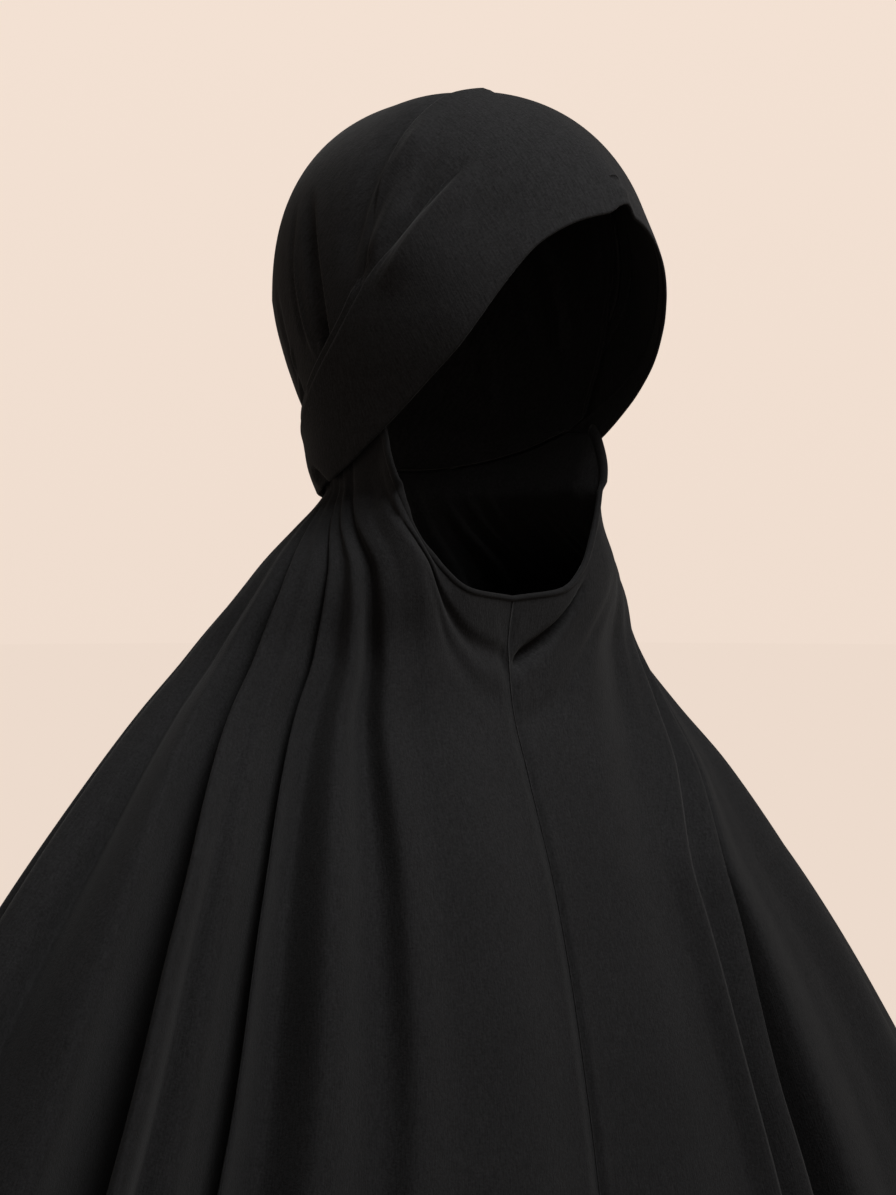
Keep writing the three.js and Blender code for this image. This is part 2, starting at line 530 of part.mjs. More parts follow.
// Where a column of the cape runs at a level, in degrees round the body.
function courseAt(courses, turn, down) {
  const below = (down - PINCH_LEVEL) / CAPE_LENGTH;
  const knots = courses.map((course) => ({
    turn: course.turn,
    here: fromTable(
      LEVELS.map((level) => ({ below: level.below, here: course[level.column] })),
      "below",
      "here",
      below,
    ),
  }));
  return fromTable(knots, "turn", "here", turn);
}

// How far the folds draw the cloth in and along at a column and level.
function foldsAt(folds, turn, down) {
  const below = (down - PINCH_LEVEL) / CAPE_LENGTH;
  let inward = 0;
  let along = 0;
  for (const fold of folds) {
    const depths = [
      { below: 0.0, depth: fold.collar * FOLD_AT_NECK },
      { below: COLLAR_BELOW, depth: fold.collar },
      { below: SHOULDER_BELOW, depth: fold.shoulder },
      { below: 1.0, depth: fold.hem },
    ];
    const depth = FOLD_DEPTH * fromTable(depths, "below", "depth", below);
    const shape = bump(turn, fold.turn, fold.seamward, fold.backward);
    inward += depth * shape;
    if (fold.lean !== 0) along += Math.abs(depth / fold.shoulder) * fold.lean * shape;
  }
  return { inward, along };
}

function capeTop(turn) {
  const loose = new THREE.Vector3(
    fromTable(CAPE_TOP, "turn", "side", turn) * HEAD_HALF_WIDTH,
    fromTable(CAPE_TOP, "turn", "fore", turn) * HEAD_FRONT,
    -fromTable(CAPE_TOP, "turn", "down", turn) * PINCH_LEVEL,
  );
  const hugging = onHead(aim(CAPE_TOP, "turn", turn, 1), CLOTH / 2);
  return loose.lerp(hugging, fromTable(CAPE_TOP, "turn", "hug", turn));
}

function capePoint(half, turn, share) {
  const top = capeTop(turn);
  const down = THREE.MathUtils.lerp(-top.z, hemLevel(turn), share);
  const start = capeSection(-top.z, courseAt(half.courses, turn, -top.z)).place;
  const section = capeSection(down, courseAt(half.courses, turn, down));
  const release = EDGE_RELEASE * fromTable(CAPE_TOP, "turn", "release", turn);
  const held = Math.exp((-top.z - down) / release);
  const place = section.place
    .clone()
    .addScaledVector(new THREE.Vector2(top.x, top.y).sub(start), held);
  const folds = foldsAt(half.folds, turn, down);
  const released = 1 - Math.exp((-top.z - down) / FOLD_RELEASE);
  const seam = SEAM_DIP * (bump(turn, 0, 1, SEAM_DIP_TURN) + bump(turn, 180, SEAM_DIP_TURN, 1));
  const cowl =
    COWL_DEPTH *
    bump(turn, COWL_REACH.turn, COWL_REACH.seamward, COWL_REACH.backward) *
    Math.sin((2 * Math.PI * (down + top.z)) / COWL_SPACING) *
    bump(down + top.z, COWL_SPACING, COWL_SPACING, 2 * COWL_SPACING);
  const inward = (folds.inward + seam) * released + cowl;
  place.addScaledVector(section.outward, -inward);
  place.addScaledVector(new THREE.Vector2(-section.outward.y, section.outward.x), folds.along * released);
  const edge = turn === 0 || turn === 180;
  return new THREE.Vector3(half.side * (edge ? GAP / 2 : Math.max(place.x, GAP / 2)), place.y, -down);
}

// The columns of a half: at each fold's bottom and ends, and no further apart than the widest turn.
function capeColumns(folds) {
  const wanted = [0, SEAM_DIP_TURN, 180 - SEAM_DIP_TURN, 180];
  for (const fold of folds)
    wanted.push(fold.turn, fold.turn - fold.seamward * FOLD_FLANK, fold.turn + fold.backward * FOLD_FLANK);
  for (const row of CAPE_TOP) wanted.push(row.turn);
  wanted.sort((a, b) => a - b);
  const columns = [0];
  for (const turn of wanted) {
    const last = columns[columns.length - 1];
    if (turn - last < CAPE_FINEST_TURN || (turn !== 180 && 180 - turn < CAPE_FINEST_TURN)) continue;
    const extra = Math.ceil((turn - last) / CAPE_WIDEST_TURN);
    for (let k = 1; k <= extra; k += 1) columns.push(last + ((turn - last) * k) / extra);
  }
  return columns;
}

function capeHalf(half) {
  const grid = capeColumns(half.folds).map((turn) => {
    const column = [];
    for (let j = 0; j <= CAPE_ROWS; j += 1)
      column.push(capePoint(half, turn, Math.pow(j / CAPE_ROWS, CAPE_ROW_CROWDING)));
    return column;
  });
  return clothWall(grid, { seams: true });
}

// The rolled edge lies on the cape's top edge, from ear to ear under the chin. Its rings follow the cape's
// own columns, so that the two stay the same distance apart all the way.
function bindingStop(half, turn) {
  const edge = capeTop(turn);
  const up = edge.clone().sub(capePoint({ ...half, side: 1 }, turn, BINDING_SIGHT));
  if (turn === 0) up.x = 0;
  edge.x *= half.side;
  up.x *= half.side;
  return { edge, up };
}

function bindingStops(half) {
  const columns = capeColumns(half.folds);
  const next = columns.findIndex((turn) => turn >= BINDING_END);
  const stops = columns.slice(0, next).map((turn) => bindingStop(half, turn));
  const last = stops[next - 1];
  const beyond = bindingStop(half, columns[next]);
  const share = (BINDING_END - columns[next - 1]) / (columns[next] - columns[next - 1]);
  stops.push({
    edge: last.edge.clone().lerp(beyond.edge, share),
    up: last.up.clone().lerp(beyond.up, share),
  });
  return stops;
}

function faceBinding() {
  const radius = HEM_ROLL / 2;
  const stops = [...bindingStops(rightHalf).reverse(), ...bindingStops(leftHalf).slice(1)];
  const positions = [];
  stops.forEach(({ edge, up }, i) => {
    const next = stops[Math.min(i + 1, stops.length - 1)].edge;
    const along = next.clone().sub(stops[Math.max(i - 1, 0)].edge).normalize();
    const across = along.clone().cross(up).normalize();
    const upright = across.clone().cross(along);
    const centre = edge.clone().addScaledVector(upright, radius + ROLL_GAP);
    for (let k = 0; k < BINDING_SIDES; k += 1) {
      const angle = (2 * Math.PI * k) / BINDING_SIDES;
      const corner = centre.clone().addScaledVector(upright, radius * Math.cos(angle));
      positions.push(...corner.addScaledVector(across, radius * Math.sin(angle)).toArray());
    }
  });
  const index = [];
  const at = (i, k) => i * BINDING_SIDES + (k % BINDING_SIDES);
  for (let i = 0; i < stops.length - 1; i += 1)
    for (let k = 0; k < BINDING_SIDES; k += 1)
      index.push(at(i, k), at(i, k + 1), at(i + 1, k + 1), at(i, k), at(i + 1, k + 1), at(i + 1, k));
  const end = stops.length - 1;
  for (let k = 1; k < BINDING_SIDES - 1; k += 1)
    index.push(at(0, 0), at(0, k + 1), at(0, k), at(end, 0), at(end, k), at(end, k + 1));
  return facingOut(positions, index);
}

function piece(name, geometry, shade) {
  const material = new THREE.MeshStandardMaterial(CREPE);
  material.color.offsetHSL(0, 0, shade);
  const mesh = new THREE.Mesh(geometry, material);
  mesh.name = name;
  return mesh;
}

const rightHalf = { side: -1, courses: RIGHT_COURSES, folds: RIGHT_FOLDS };
const leftHalf = { side: 1, courses: LEFT_COURSES, folds: LEFT_FOLDS };

const hood = new THREE.Group();
hood.add(piece("crown_hood", crownHood(), 0.01));
hood.add(piece("brow_wrap", browWrap(), 0.02));

const cape = new THREE.Group();
cape.add(piece("cape_right", capeHalf(rightHalf), 0));
cape.add(piece("cape_left", capeHalf(leftHalf), 0));
cape.add(piece("face_binding", faceBinding(), 0.02));

const veil = new THREE.Group();
veil.add(hood, cape);

export default veil;
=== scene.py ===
# %% [markdown]
# A khimar is a sewn head veil. This one is matte black crepe: a close hood, a brow panel that wraps round
# the nape as a band, and a wide cape that falls from the neck in deep folds. It is modelled as it is worn,
# because cloth like this has no form of its own. The solid model of the veil comes in first. It fixes the
# sizes, and each cloth below takes the place of one of its solids.

# %% Load the solid model
import math

import bpy
import numpy as np
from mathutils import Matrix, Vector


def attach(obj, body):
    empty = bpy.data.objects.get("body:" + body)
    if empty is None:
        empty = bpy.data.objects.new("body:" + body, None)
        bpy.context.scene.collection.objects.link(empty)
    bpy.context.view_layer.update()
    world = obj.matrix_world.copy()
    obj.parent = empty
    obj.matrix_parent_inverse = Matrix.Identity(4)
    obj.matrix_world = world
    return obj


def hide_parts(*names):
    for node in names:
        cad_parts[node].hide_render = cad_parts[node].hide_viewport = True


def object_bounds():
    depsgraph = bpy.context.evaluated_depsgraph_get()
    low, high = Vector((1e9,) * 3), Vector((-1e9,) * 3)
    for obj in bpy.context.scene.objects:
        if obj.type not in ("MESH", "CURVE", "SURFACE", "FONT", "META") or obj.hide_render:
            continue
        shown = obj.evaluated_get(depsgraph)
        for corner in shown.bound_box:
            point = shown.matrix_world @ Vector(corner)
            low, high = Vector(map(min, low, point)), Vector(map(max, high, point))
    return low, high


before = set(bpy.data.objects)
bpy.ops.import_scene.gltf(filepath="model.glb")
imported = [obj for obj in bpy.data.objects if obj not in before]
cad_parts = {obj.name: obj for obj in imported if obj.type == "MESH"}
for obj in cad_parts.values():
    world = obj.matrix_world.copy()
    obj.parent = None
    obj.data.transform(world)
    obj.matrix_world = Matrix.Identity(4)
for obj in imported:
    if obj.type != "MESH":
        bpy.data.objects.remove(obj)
cad_box = [list(corner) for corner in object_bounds()]
print("solids:", sorted(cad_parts))
print("box in mm:", [[round(1000 * v) for v in corner] for corner in cad_box])

# %% [markdown]
# The camera looks level at the veil from 45 degrees to the wearer's right, with a long lens, as in the
# photograph. Blender measures a tall picture's lens against the sensor's long side, so the lens follows from
# the height that the picture covers at the hood.

# %% The camera
VIEW_TURN = math.radians(-45)
VIEW_DISTANCE = 2.550  # metres, to the hood's middle
VIEW_HEIGHT = -0.2168  # metres above the crown, so the camera is lower than it
VIEW_SIDE = -0.0096  # metres from the hood's middle to the middle of the picture
PICTURE_HEIGHT = 0.5198  # metres that the picture covers at the hood
SENSOR_LENGTH = 36  # millimetres
VIEW_END = 200  # metres


def add_object(name, data):
    """A new object in the scene that holds a mesh, a curve, a light or a camera."""
    thing = bpy.data.objects.new(name, data)
    bpy.context.scene.collection.objects.link(thing)
    return thing


camera_data = bpy.data.cameras.new("camera")
camera_data.sensor_width = SENSOR_LENGTH
camera_data.lens = SENSOR_LENGTH * VIEW_DISTANCE / PICTURE_HEIGHT
camera_data.clip_end = VIEW_END
camera = add_object("camera", camera_data)
ahead = np.array([-math.sin(VIEW_TURN), math.cos(VIEW_TURN)])
aside = np.array([math.cos(VIEW_TURN), math.sin(VIEW_TURN)])
camera.location = (*(VIEW_SIDE * aside - VIEW_DISTANCE * ahead), VIEW_HEIGHT)
camera.rotation_euler = (math.pi / 2, 0, VIEW_TURN)
bpy.context.scene.camera = camera
print("camera at", [round(v, 3) for v in camera.location], "lens", round(camera_data.lens, 1))

# %% [markdown]
# A material is a small graph of nodes. A few functions keep each graph short enough to read. An input is
# named as in Blender with _ for a space, or as _ and its number. A link is the socket that it comes from.


# %% Functions for node graphs
def empty_tree(owner):
    """The node graph of a new material or world, with nothing in it."""
    owner.use_nodes = True
    owner.node_tree.nodes.clear()
    return owner.node_tree


def add_node(tree, kind, settings=None, **inputs):
    node = tree.nodes.new(kind)
    for name, value in (settings or {}).items():
        setattr(node, name, value)
    for name, value in inputs.items():
        key = int(name[1:]) if name[0] == "_" else name.replace("_", " ")
        socket = node.inputs[key]
        if isinstance(value, bpy.types.NodeSocket):
            tree.links.new(value, socket)
        else:
            socket.default_value = value
    return node


def linear(hex_colour, alpha=1.0):
    """An sRGB hex colour as the linear numbers that Blender's sockets hold."""
    parts = [int(hex_colour[i : i + 2], 16) / 255 for i in (1, 3, 5)]
    return (*(p / 12.92 if p <= 0.04045 else ((p + 0.055) / 1.055) ** 2.4 for p in parts), alpha)


def map_range(tree, value, span, to=(0, 1), kind="LINEAR"):
    """A span of values mapped to another. Both are pairs."""
    ends = {"From_Min": span[0], "From_Max": span[1], "To_Min": to[0], "To_Max": to[1]}
    settings = {"interpolation_type": kind}
    return add_node(tree, "ShaderNodeMapRange", settings, Value=value, **ends).outputs["Result"]


print("cream in linear numbers:", [round(v, 3) for v in linear("#f2e0d2")])

# %% [markdown]
# The veil stands in a plain warm studio. The world is the pale backdrop for the camera, and a weaker soft
# light for the cloth, so that the folds keep their shadows.

# %% The backdrop
BACKDROP_TOP, BACKDROP_LOW = linear("#f3e1d3"), linear("#ecdacc")
BACKDROP_BLEND = 0.1  # how far above and below the horizon one runs into the other
SOFT_COLOUR = linear("#f6efe8")
SOFT_LIGHT = 0.085  # brightness of the backdrop as the cloth sees it

bpy.context.scene.view_settings.view_transform = "Standard"
world = bpy.data.worlds.new("studio")
bpy.context.scene.world = world
tree = empty_tree(world)
direction = add_node(tree, "ShaderNodeTexCoord").outputs["Generated"]
height = add_node(tree, "ShaderNodeSeparateXYZ", Vector=direction).outputs["Z"]
rise = map_range(tree, height, (-BACKDROP_BLEND, BACKDROP_BLEND))
ramp = add_node(tree, "ShaderNodeMix", {"data_type": "RGBA"}, Factor=rise, _6=BACKDROP_LOW, _7=BACKDROP_TOP)
backdrop = add_node(tree, "ShaderNodeBackground", Color=ramp.outputs[2], Strength=1.0)
soft_light = add_node(tree, "ShaderNodeBackground", Color=SOFT_COLOUR, Strength=SOFT_LIGHT)
seen = add_node(tree, "ShaderNodeLightPath").outputs["Is Camera Ray"]
both = add_node(tree, "ShaderNodeMixShader", _0=seen, _1=soft_light.outputs[0], _2=backdrop.outputs[0])
add_node(tree, "ShaderNodeOutputWorld", Surface=both.outputs[0])
print("soft light", SOFT_LIGHT)

# %% [markdown]
# The floor is a wide sheet of paper. It runs into the backdrop colour a few metres out, which hides the
# horizon from every side. For the light it is dark, so that it throws little light up into the folds.

# %% The floor
FLOOR_GAP = 0.014  # metres from the hem down to the floor
FLOOR_LEVEL = cad_box[0][2] - FLOOR_GAP
FLOOR_REACH = 60.0  # metres
FLOOR_FADE = (1.2, 3.4)  # metres from the veil, where the floor runs into the backdrop
PAPER_SEEN, PAPER_LIT, PAPER_FAR = linear("#efdccd"), linear("#3c3c3c"), linear("#eddbcd")

floor_mesh = bpy.data.meshes.new("floor")
corners = [(x * FLOOR_REACH, y * FLOOR_REACH, FLOOR_LEVEL) for x, y in ((-1, -1), (1, -1), (1, 1), (-1, 1))]
floor_mesh.from_pydata(corners, [], [(0, 1, 2, 3)])
floor = add_object("floor", floor_mesh)
paper = bpy.data.materials.new("seamless_paper")
tree = empty_tree(paper)
place = add_node(tree, "ShaderNodeTexCoord").outputs["Object"]
level_place = add_node(
    tree, "ShaderNodeVectorMath", {"operation": "MULTIPLY"}, _0=place, _1=(1, 1, 0)
).outputs[0]
far = add_node(tree, "ShaderNodeVectorMath", {"operation": "LENGTH"}, _0=level_place).outputs["Value"]
fade = map_range(tree, far, FLOOR_FADE, kind="SMOOTHSTEP")
seen = add_node(tree, "ShaderNodeLightPath").outputs["Is Camera Ray"]
paper_colour = add_node(
    tree, "ShaderNodeMix", {"data_type": "RGBA"}, Factor=seen, _6=PAPER_LIT, _7=PAPER_SEEN
).outputs[2]
matte = add_node(tree, "ShaderNodeBsdfDiffuse", Color=paper_colour)
glow = add_node(tree, "ShaderNodeEmission", Color=PAPER_FAR, Strength=1.0)
mixed = add_node(tree, "ShaderNodeMixShader", _0=fade, _1=matte.outputs[0], _2=glow.outputs[0])
add_node(tree, "ShaderNodeOutputMaterial", Surface=mixed.outputs[0])
floor_mesh.materials.append(paper)
print("floor level", round(FLOOR_LEVEL, 3))

# %% [markdown]
# One large square light stands high in front of the veil. Black cloth shows its form only where light runs
# across it, and a second light would fill the valleys that are black in the photograph.

# %% The light
LIGHT_TARGET = np.array([0, 0, -0.05])  # metres
LIGHT_TURN, LIGHT_RISE = math.radians(4), math.radians(53)  # to the wearer's left of the front, and up
LIGHT_DISTANCE, LIGHT_SIZE, LIGHT_POWER = 1.4, 0.95, 26  # metres, metres and watts

light_data = bpy.data.lights.new("key", "AREA")
light_data.size = LIGHT_SIZE
light_data.energy = LIGHT_POWER
light = add_object("key", light_data)
level = math.cos(LIGHT_RISE)
away = np.array([math.sin(LIGHT_TURN) * level, -math.cos(LIGHT_TURN) * level, math.sin(LIGHT_RISE)])
light.location = LIGHT_TARGET + LIGHT_DISTANCE * away
light.rotation_euler = (math.pi / 2 - LIGHT_RISE, 0, LIGHT_TURN)
light.visible_camera = False
print("light at", [round(v, 2) for v in light.location])

# %% [markdown]
# The cloth is a crepe of hard-twisted polyester yarn, woven and then shrunk, so that its face is a fine
# uneven pebble. It hardly shines: each yarn scatters light its own way, and only at a grazing angle do the
# fibre ends catch a little. So the shader is rough, with a low specular level and a little sheen. The pebble
# is about 0.5 mm on the real cloth. That is finer than the render shows, so it is drawn at 1.1 mm.

# %% The crepe
PEBBLE = 0.0011  # metres
SLUB = (0.0008, 0.0070)  # metres across and along the yarns
SLUB_SHARE = 0.4  # how much of the grain is yarns, beside the pebble
GRAIN_TONE_AND_PAINTED_SHADE = (0.5, 1.55)  # of the cloth's colour, in the pits and on the tops of the grain
GRAIN_HEIGHT = 0.0006  # metres
MOTTLE = 0.045  # metres, the size of the soft patches left by pressing
MOTTLE_TONES = (0.94, 1.06)


def crepe_material(name, colour, roughness, sheen):
    material = bpy.data.materials.new(name)
    tree = empty_tree(material)
    coordinates = add_node(tree, "ShaderNodeTexCoord")
    place, sewn = coordinates.outputs["Object"], coordinates.outputs["UV"]

    def noise(where, size, **inputs):
        return add_node(tree, "ShaderNodeTexNoise", Vector=where, Scale=1 / size, **inputs).outputs["Fac"]

    pebble = noise(place, PEBBLE, Detail=3.0, Roughness=0.6)
    along_yarn = add_node(
        tree, "ShaderNodeMapping", Vector=sewn, Scale=(1 / SLUB[0], 1 / SLUB[1], 1)
    ).outputs["Vector"]
    slub = noise(along_yarn, 1.0, Detail=2.0)
    mottle = noise(place, MOTTLE, Detail=2.0)
    grain = add_node(
        tree, "ShaderNodeMix", {"data_type": "FLOAT"}, Factor=SLUB_SHARE, A=pebble, B=slub
    ).outputs["Result"]
    # Partly painted shade: the colour is darker in the grain's pits and lighter on its tops, as light falls
    # on the pebble, over the yarns' own uneven tone.
    shade = map_range(tree, grain, (0.35, 0.65), GRAIN_TONE_AND_PAINTED_SHADE)
    patch = map_range(tree, mottle, (0.3, 0.7), MOTTLE_TONES)
    tone = add_node(tree, "ShaderNodeMath", {"operation": "MULTIPLY"}, _0=shade, _1=patch).outputs[0]
    coloured = add_node(
        tree, "ShaderNodeVectorMath", {"operation": "SCALE"}, _0=linear(colour)[:3], Scale=tone
    ).outputs[0]
    relief = add_node(
        tree, "ShaderNodeBump", Height=grain, Strength=0.5, Distance=GRAIN_HEIGHT
    ).outputs["Normal"]
    cloth = add_node(
        tree,
        "ShaderNodeBsdfPrincipled",
        Base_Color=coloured,
        Roughness=roughness,
        Normal=relief,
        Sheen_Weight=sheen,
        Sheen_Roughness=0.45,
        Specular_IOR_Level=0.18,
    )
    add_node(tree, "ShaderNodeOutputMaterial", Surface=cloth.outputs[0])
    return material


crepe = crepe_material("black_crepe", "#1a1a1b", roughness=0.9, sheen=0.05)
# The rolled edge is a darker copy of the crepe: painted shade, for the shadow that a chin casts on it.
crepe_edge_painted_shade = crepe_material("black_crepe_rolled_edge_painted_shade", "#131314", roughness=0.86, sheen=0.06)
print("materials:", crepe.name, crepe_edge_painted_shade.name)

# %% [markdown]
# Every cloth here is a grid of points that a few curves work out. A table gives a curve's value at a few
# places, and this function runs a smooth line through them that never swings past its rows. That matters
# for cloth: an overshoot would make a bulge that no pattern cutter put there. Lengths are in millimetres
# until the mesh is made.

# %% Curves from short tables
MM = 0.001
TINY = 1e-9  # keeps a division from meeting a zero


def table(names, *rows):
    """Rows of numbers as named columns."""
    return dict(zip(names.split(), np.array(rows, float).T))


def through(xs, ys, at):
    """The value at each place of a smooth line through the points (xs, ys). ys may differ for each place."""
    xs, ys, at = np.asarray(xs, float), np.asarray(ys, float), np.asarray(at, float)
    shape = at.shape
    at = np.clip(at.ravel(), xs[0], xs[-1])
    ys = ys.reshape(len(xs), -1)
    rise = np.diff(ys, axis=0) / np.diff(xs)[:, None]
    product, total = rise[:-1] * rise[1:], rise[:-1] + rise[1:]
    inner = np.where(product > 0, 2 * product / np.where(total == 0, 1, total), 0)
    slope = np.concatenate([rise[:1], inner, rise[-1:]])
    k = np.clip(np.searchsorted(xs, at, side="right") - 1, 0, len(xs) - 2)
    own = np.arange(at.size) if ys.shape[1] > 1 else 0
    span = np.diff(xs)[k]
    t = (at - xs[k]) / span
    start, end = ys[k, own], ys[k + 1, own]
    value = start + (end - start) * t * t * (3 - 2 * t)
    value += t * (1 - t) ** 2 * span * slope[k, own] - t * t * (1 - t) * span * slope[k + 1, own]
    return value.reshape(shape)


def smooth_step(start, end, at):
    """0 up to the start, 1 from the end on, and a smooth rise between them."""
    t = np.clip((np.asarray(at, float) - start) / (end - start), 0, 1)
    return t * t * (3 - 2 * t)


def bump(at, top, before, after):
    """A rounded hill, 1 at its top and 0 where it ends on each side."""
    x = np.where(at < top, (top - at) / before, (at - top) / after)
    return 0.5 + 0.5 * np.cos(np.pi * np.clip(x, 0, 1))


def unit(vectors):
    return vectors / np.maximum(np.linalg.norm(vectors, axis=-1, keepdims=True), TINY)


print("a hill at its top, half way and at its end:", bump(np.array([0.0, 0.5, 1.0]), 0, 1, 1))

# %% [markdown]
# The hood is cut to fit closely, so its own hollow is the form that its cloth is laid on. It is a stack of
# rounded sections. A piece of cloth aims at a place with a direction from the hollow's middle, and the form
# says how far out the cloth lies there. The search halves an interval over and over, for all the points at
# once.

# %% The hollow that the hood is laid on
HEAD_HALF_WIDTH, HEAD_FRONT, HEAD_BACK = 75.0, 93.5, 95.0
WIDEST_LEVEL, PINCH_LEVEL = 87.0, 171.0  # below the crown
SIDE_ROUNDING, BROW_ROUNDING = 2.4, 2.0  # powers of the rounded sections, 2 for an ellipse
MIDDLE = np.array([0, 0, -WIDEST_LEVEL])
SEARCH_STEPS = 32
LOWER_HEAD = table(
    "drop width front back",
    (0, 1, 1, 1),
    (0.11, 0.997, 0.995, 0.972),
    (0.31, 0.967, 0.952, 0.905),
    (0.44, 0.933, 0.898, 0.855),
    (0.565, 0.9, 0.845, 0.802),
    (0.69, 0.873, 0.802, 0.735),
    (0.81, 0.847, 0.77, 0.72),
    (1, 0.76, 0.684, 0.653),
)
BROW_FULLNESS = table("down power", (0.0, 1.6), (0.29, 1.6), (0.45, 1.8), (0.64, 1.95))


def head_section(down):
    """Half width, front and back of the hollow at a level."""
    up = np.clip(1 - down / WIDEST_LEVEL, 0, 1)
    sides = (1 - up**SIDE_ROUNDING) ** (1 / SIDE_ROUNDING)
    brow = (1 - up**BROW_ROUNDING) ** (1 / BROW_ROUNDING)
    drop = (down - WIDEST_LEVEL) / (PINCH_LEVEL - WIDEST_LEVEL)
    below = {name: through(LOWER_HEAD["drop"], LOWER_HEAD[name], drop) for name in LOWER_HEAD}
    high = down <= WIDEST_LEVEL
    return (
        HEAD_HALF_WIDTH * np.where(high, sides, below["width"]),
        HEAD_FRONT * np.where(high, brow, below["front"]),
        HEAD_BACK * np.where(high, sides, below["back"]),
    )


def inside_head(points):
    width, front, back = head_section(-points[..., 2])
    ahead = points[..., 1] < 0
    power = through(BROW_FULLNESS["down"], BROW_FULLNESS["power"], -points[..., 2] / PINCH_LEVEL)
    power = np.where(ahead, power, 2)
    across = np.abs(points[..., 0]) / np.maximum(width, TINY)
    along = np.abs(points[..., 1]) / np.maximum(np.where(ahead, front, back), TINY)
    return (points[..., 2] < 0) & (across**power + along**power < 1)


def on_head(direction, lift):
    """The places on the form in these directions from its middle, raised by lift."""
    near = np.zeros(direction.shape[:-1])
    far = np.full(direction.shape[:-1], 2 * (HEAD_BACK + PINCH_LEVEL))
    for _ in range(SEARCH_STEPS):
        half = (near + far) / 2
        inside = inside_head(MIDDLE + direction * half[..., None])
        near, far = np.where(inside, half, near), np.where(inside, far, half)
    return MIDDLE + direction * (near + lift)[..., None]


def towards(side, fore, down):
    """The directions to places that are given as shares of the hollow's half width, front and height."""
    place = (side * HEAD_HALF_WIDTH, fore * HEAD_FRONT, WIDEST_LEVEL - down * PINCH_LEVEL)
    return unit(np.stack(np.broadcast_arrays(*place), axis=-1))


def aim(rows, key, at, side):
    """The directions that the rows of a table point to."""
    value = {name: through(rows[key], rows[name], at) for name in ("side", "fore", "down")}
    return towards(side * value["side"], value["fore"], value["down"])


def between(start, end, share):
    """Directions part of the way from one to another, turned at an even rate."""
    angle = np.maximum(np.arccos(np.clip((start * end).sum(-1), -1, 1)), TINY)
    a = np.sin((1 - share) * angle) / np.sin(angle)
    b = np.sin(share * angle) / np.sin(angle)
    return a[..., None] * start + b[..., None] * end


def shifted(start, end, length):
    """Directions moved by a length along the form towards others."""
    angle = np.arccos(np.clip((start * end).sum(-1), -1, 1))
    return between(start, end, length / (HEAD_HALF_WIDTH * np.maximum(angle, TINY)))


widest_section = [round(float(v), 1) for v in head_section(WIDEST_LEVEL)]
print("half width, front and back at the widest level:", widest_section)

# %% [markdown]
# Flat cloth that is laid on a round form has too much length somewhere, and it stands there in folds. Each
# fold of the hood is a line on the form, along which the cloth is drawn in or out. A valley that is steep on
# one side and slow on the other reads as a fold of cloth, where an even groove would read as a dent.

# %% The folds of the hood
FOLD_STOPS = 41
FOLD_LINE_LIFT = 1.0  # from the form to a fold's line
FOLD_REACH = (1.5, 8.0)  # how far from its line a fold acts: in its widths, and the millimetres past them

# A row holds three places of the line as shares of the form's width, front and height, the depth in
# millimetres (below 0 for a ridge), the widths to the left and right of the line as it is seen from outside
# with its start upwards, the shares of the line over which it fades in and out, and 1 where the other side
# of the hood has the fold as well.
HOOD_FOLDS = {
    "panel": (
        ((0, -0.1, 0), (-0.33, -0.05, 0.01), (-0.7, -0.05, 0.09), -2, 28, 28, 0.1, 0.5, 0),
        ((-0.45, -0.2, 0.03), (-0.87, -0.22, 0.23), (-1.02, -0.14, 0.48), -2.8, 7, 10, 0.3, 0.2, 0),
        ((-0.683, -0.287, 0.129), (-0.957, -0.174, 0.311), (-1.036, -0.069, 0.528), 3.2, 7, 7, 0.3, 0.2, 0),
        ((-0.56, -0.5, 0.16), (-0.85, -0.35, 0.33), (-1.04, -0.16, 0.5), 2.8, 10, 2.2, 0.4, 0.3, 0),
        ((-0.56, -0.54, 0.18), (-0.84, -0.4, 0.35), (-1.03, -0.22, 0.53), -3.4, 5, 13, 0.35, 0.3, 0),
        ((-0.62, -0.4, 0.16), (-0.78, -0.33, 0.24), (-0.92, -0.28, 0.33), 2.2, 6, 4, 0.5, 0.4, 0),
        ((-0.07, -0.911, 0.257), (0.09, -0.905, 0.257), (0.25, -0.871, 0.274), -0.8, 4, 4, 0.4, 0.2, 0),
        ((-0.7, 0.4, 0.92), (-0.74, 0.32, 0.952), (-0.75, 0.26, 0.985), 5, 3, 5, 0.4, 0.05, 0),
    ),
    "crown": (
        ((0, -0.1, 0), (-0.33, -0.05, 0.01), (-0.7, -0.05, 0.09), -2, 28, 28, 0.1, 0.5, 0),
        ((-0.52, -0.1, 0.044), (-0.93, -0.08, 0.25), (-1.03, -0.03, 0.5), 2.4, 14, 5, 0.3, 0.3, 1),
        ((-0.82, 0.36, 0.216), (-0.985, 0.22, 0.434), (-0.981, 0.148, 0.628), 3.6, 9, 4.5, 0.35, 0.02, 1),
        ((-0.99, 0.18, 0.56), (-0.985, 0.165, 0.61), (-0.975, 0.145, 0.66), 4.5, 4, 5, 0.3, 0.02, 0),
        ((-0.8, 0.45, 0.25), (-0.9, 0.4, 0.45), (-0.93, 0.28, 0.66), 1, 4, 2.5, 0.3, 0.2, 1),
        ((-0.86, 0.42, 0.35), (-0.93, 0.34, 0.52), (-0.94, 0.22, 0.68), -0.8, 3, 3, 0.3, 0.2, 0),
        ((-0.852, 0.502, 0.616), (-0.801, 0.492, 0.704), (-0.687, 0.521, 0.809), -1, 2.5, 3, 0.3, 0.1, 0),
        ((-0.75, 0.6, 0.45), (-0.8, 0.52, 0.62), (-0.76, 0.45, 0.8), 1.2, 6, 3, 0.4, 0.1, 1),
    ),
}


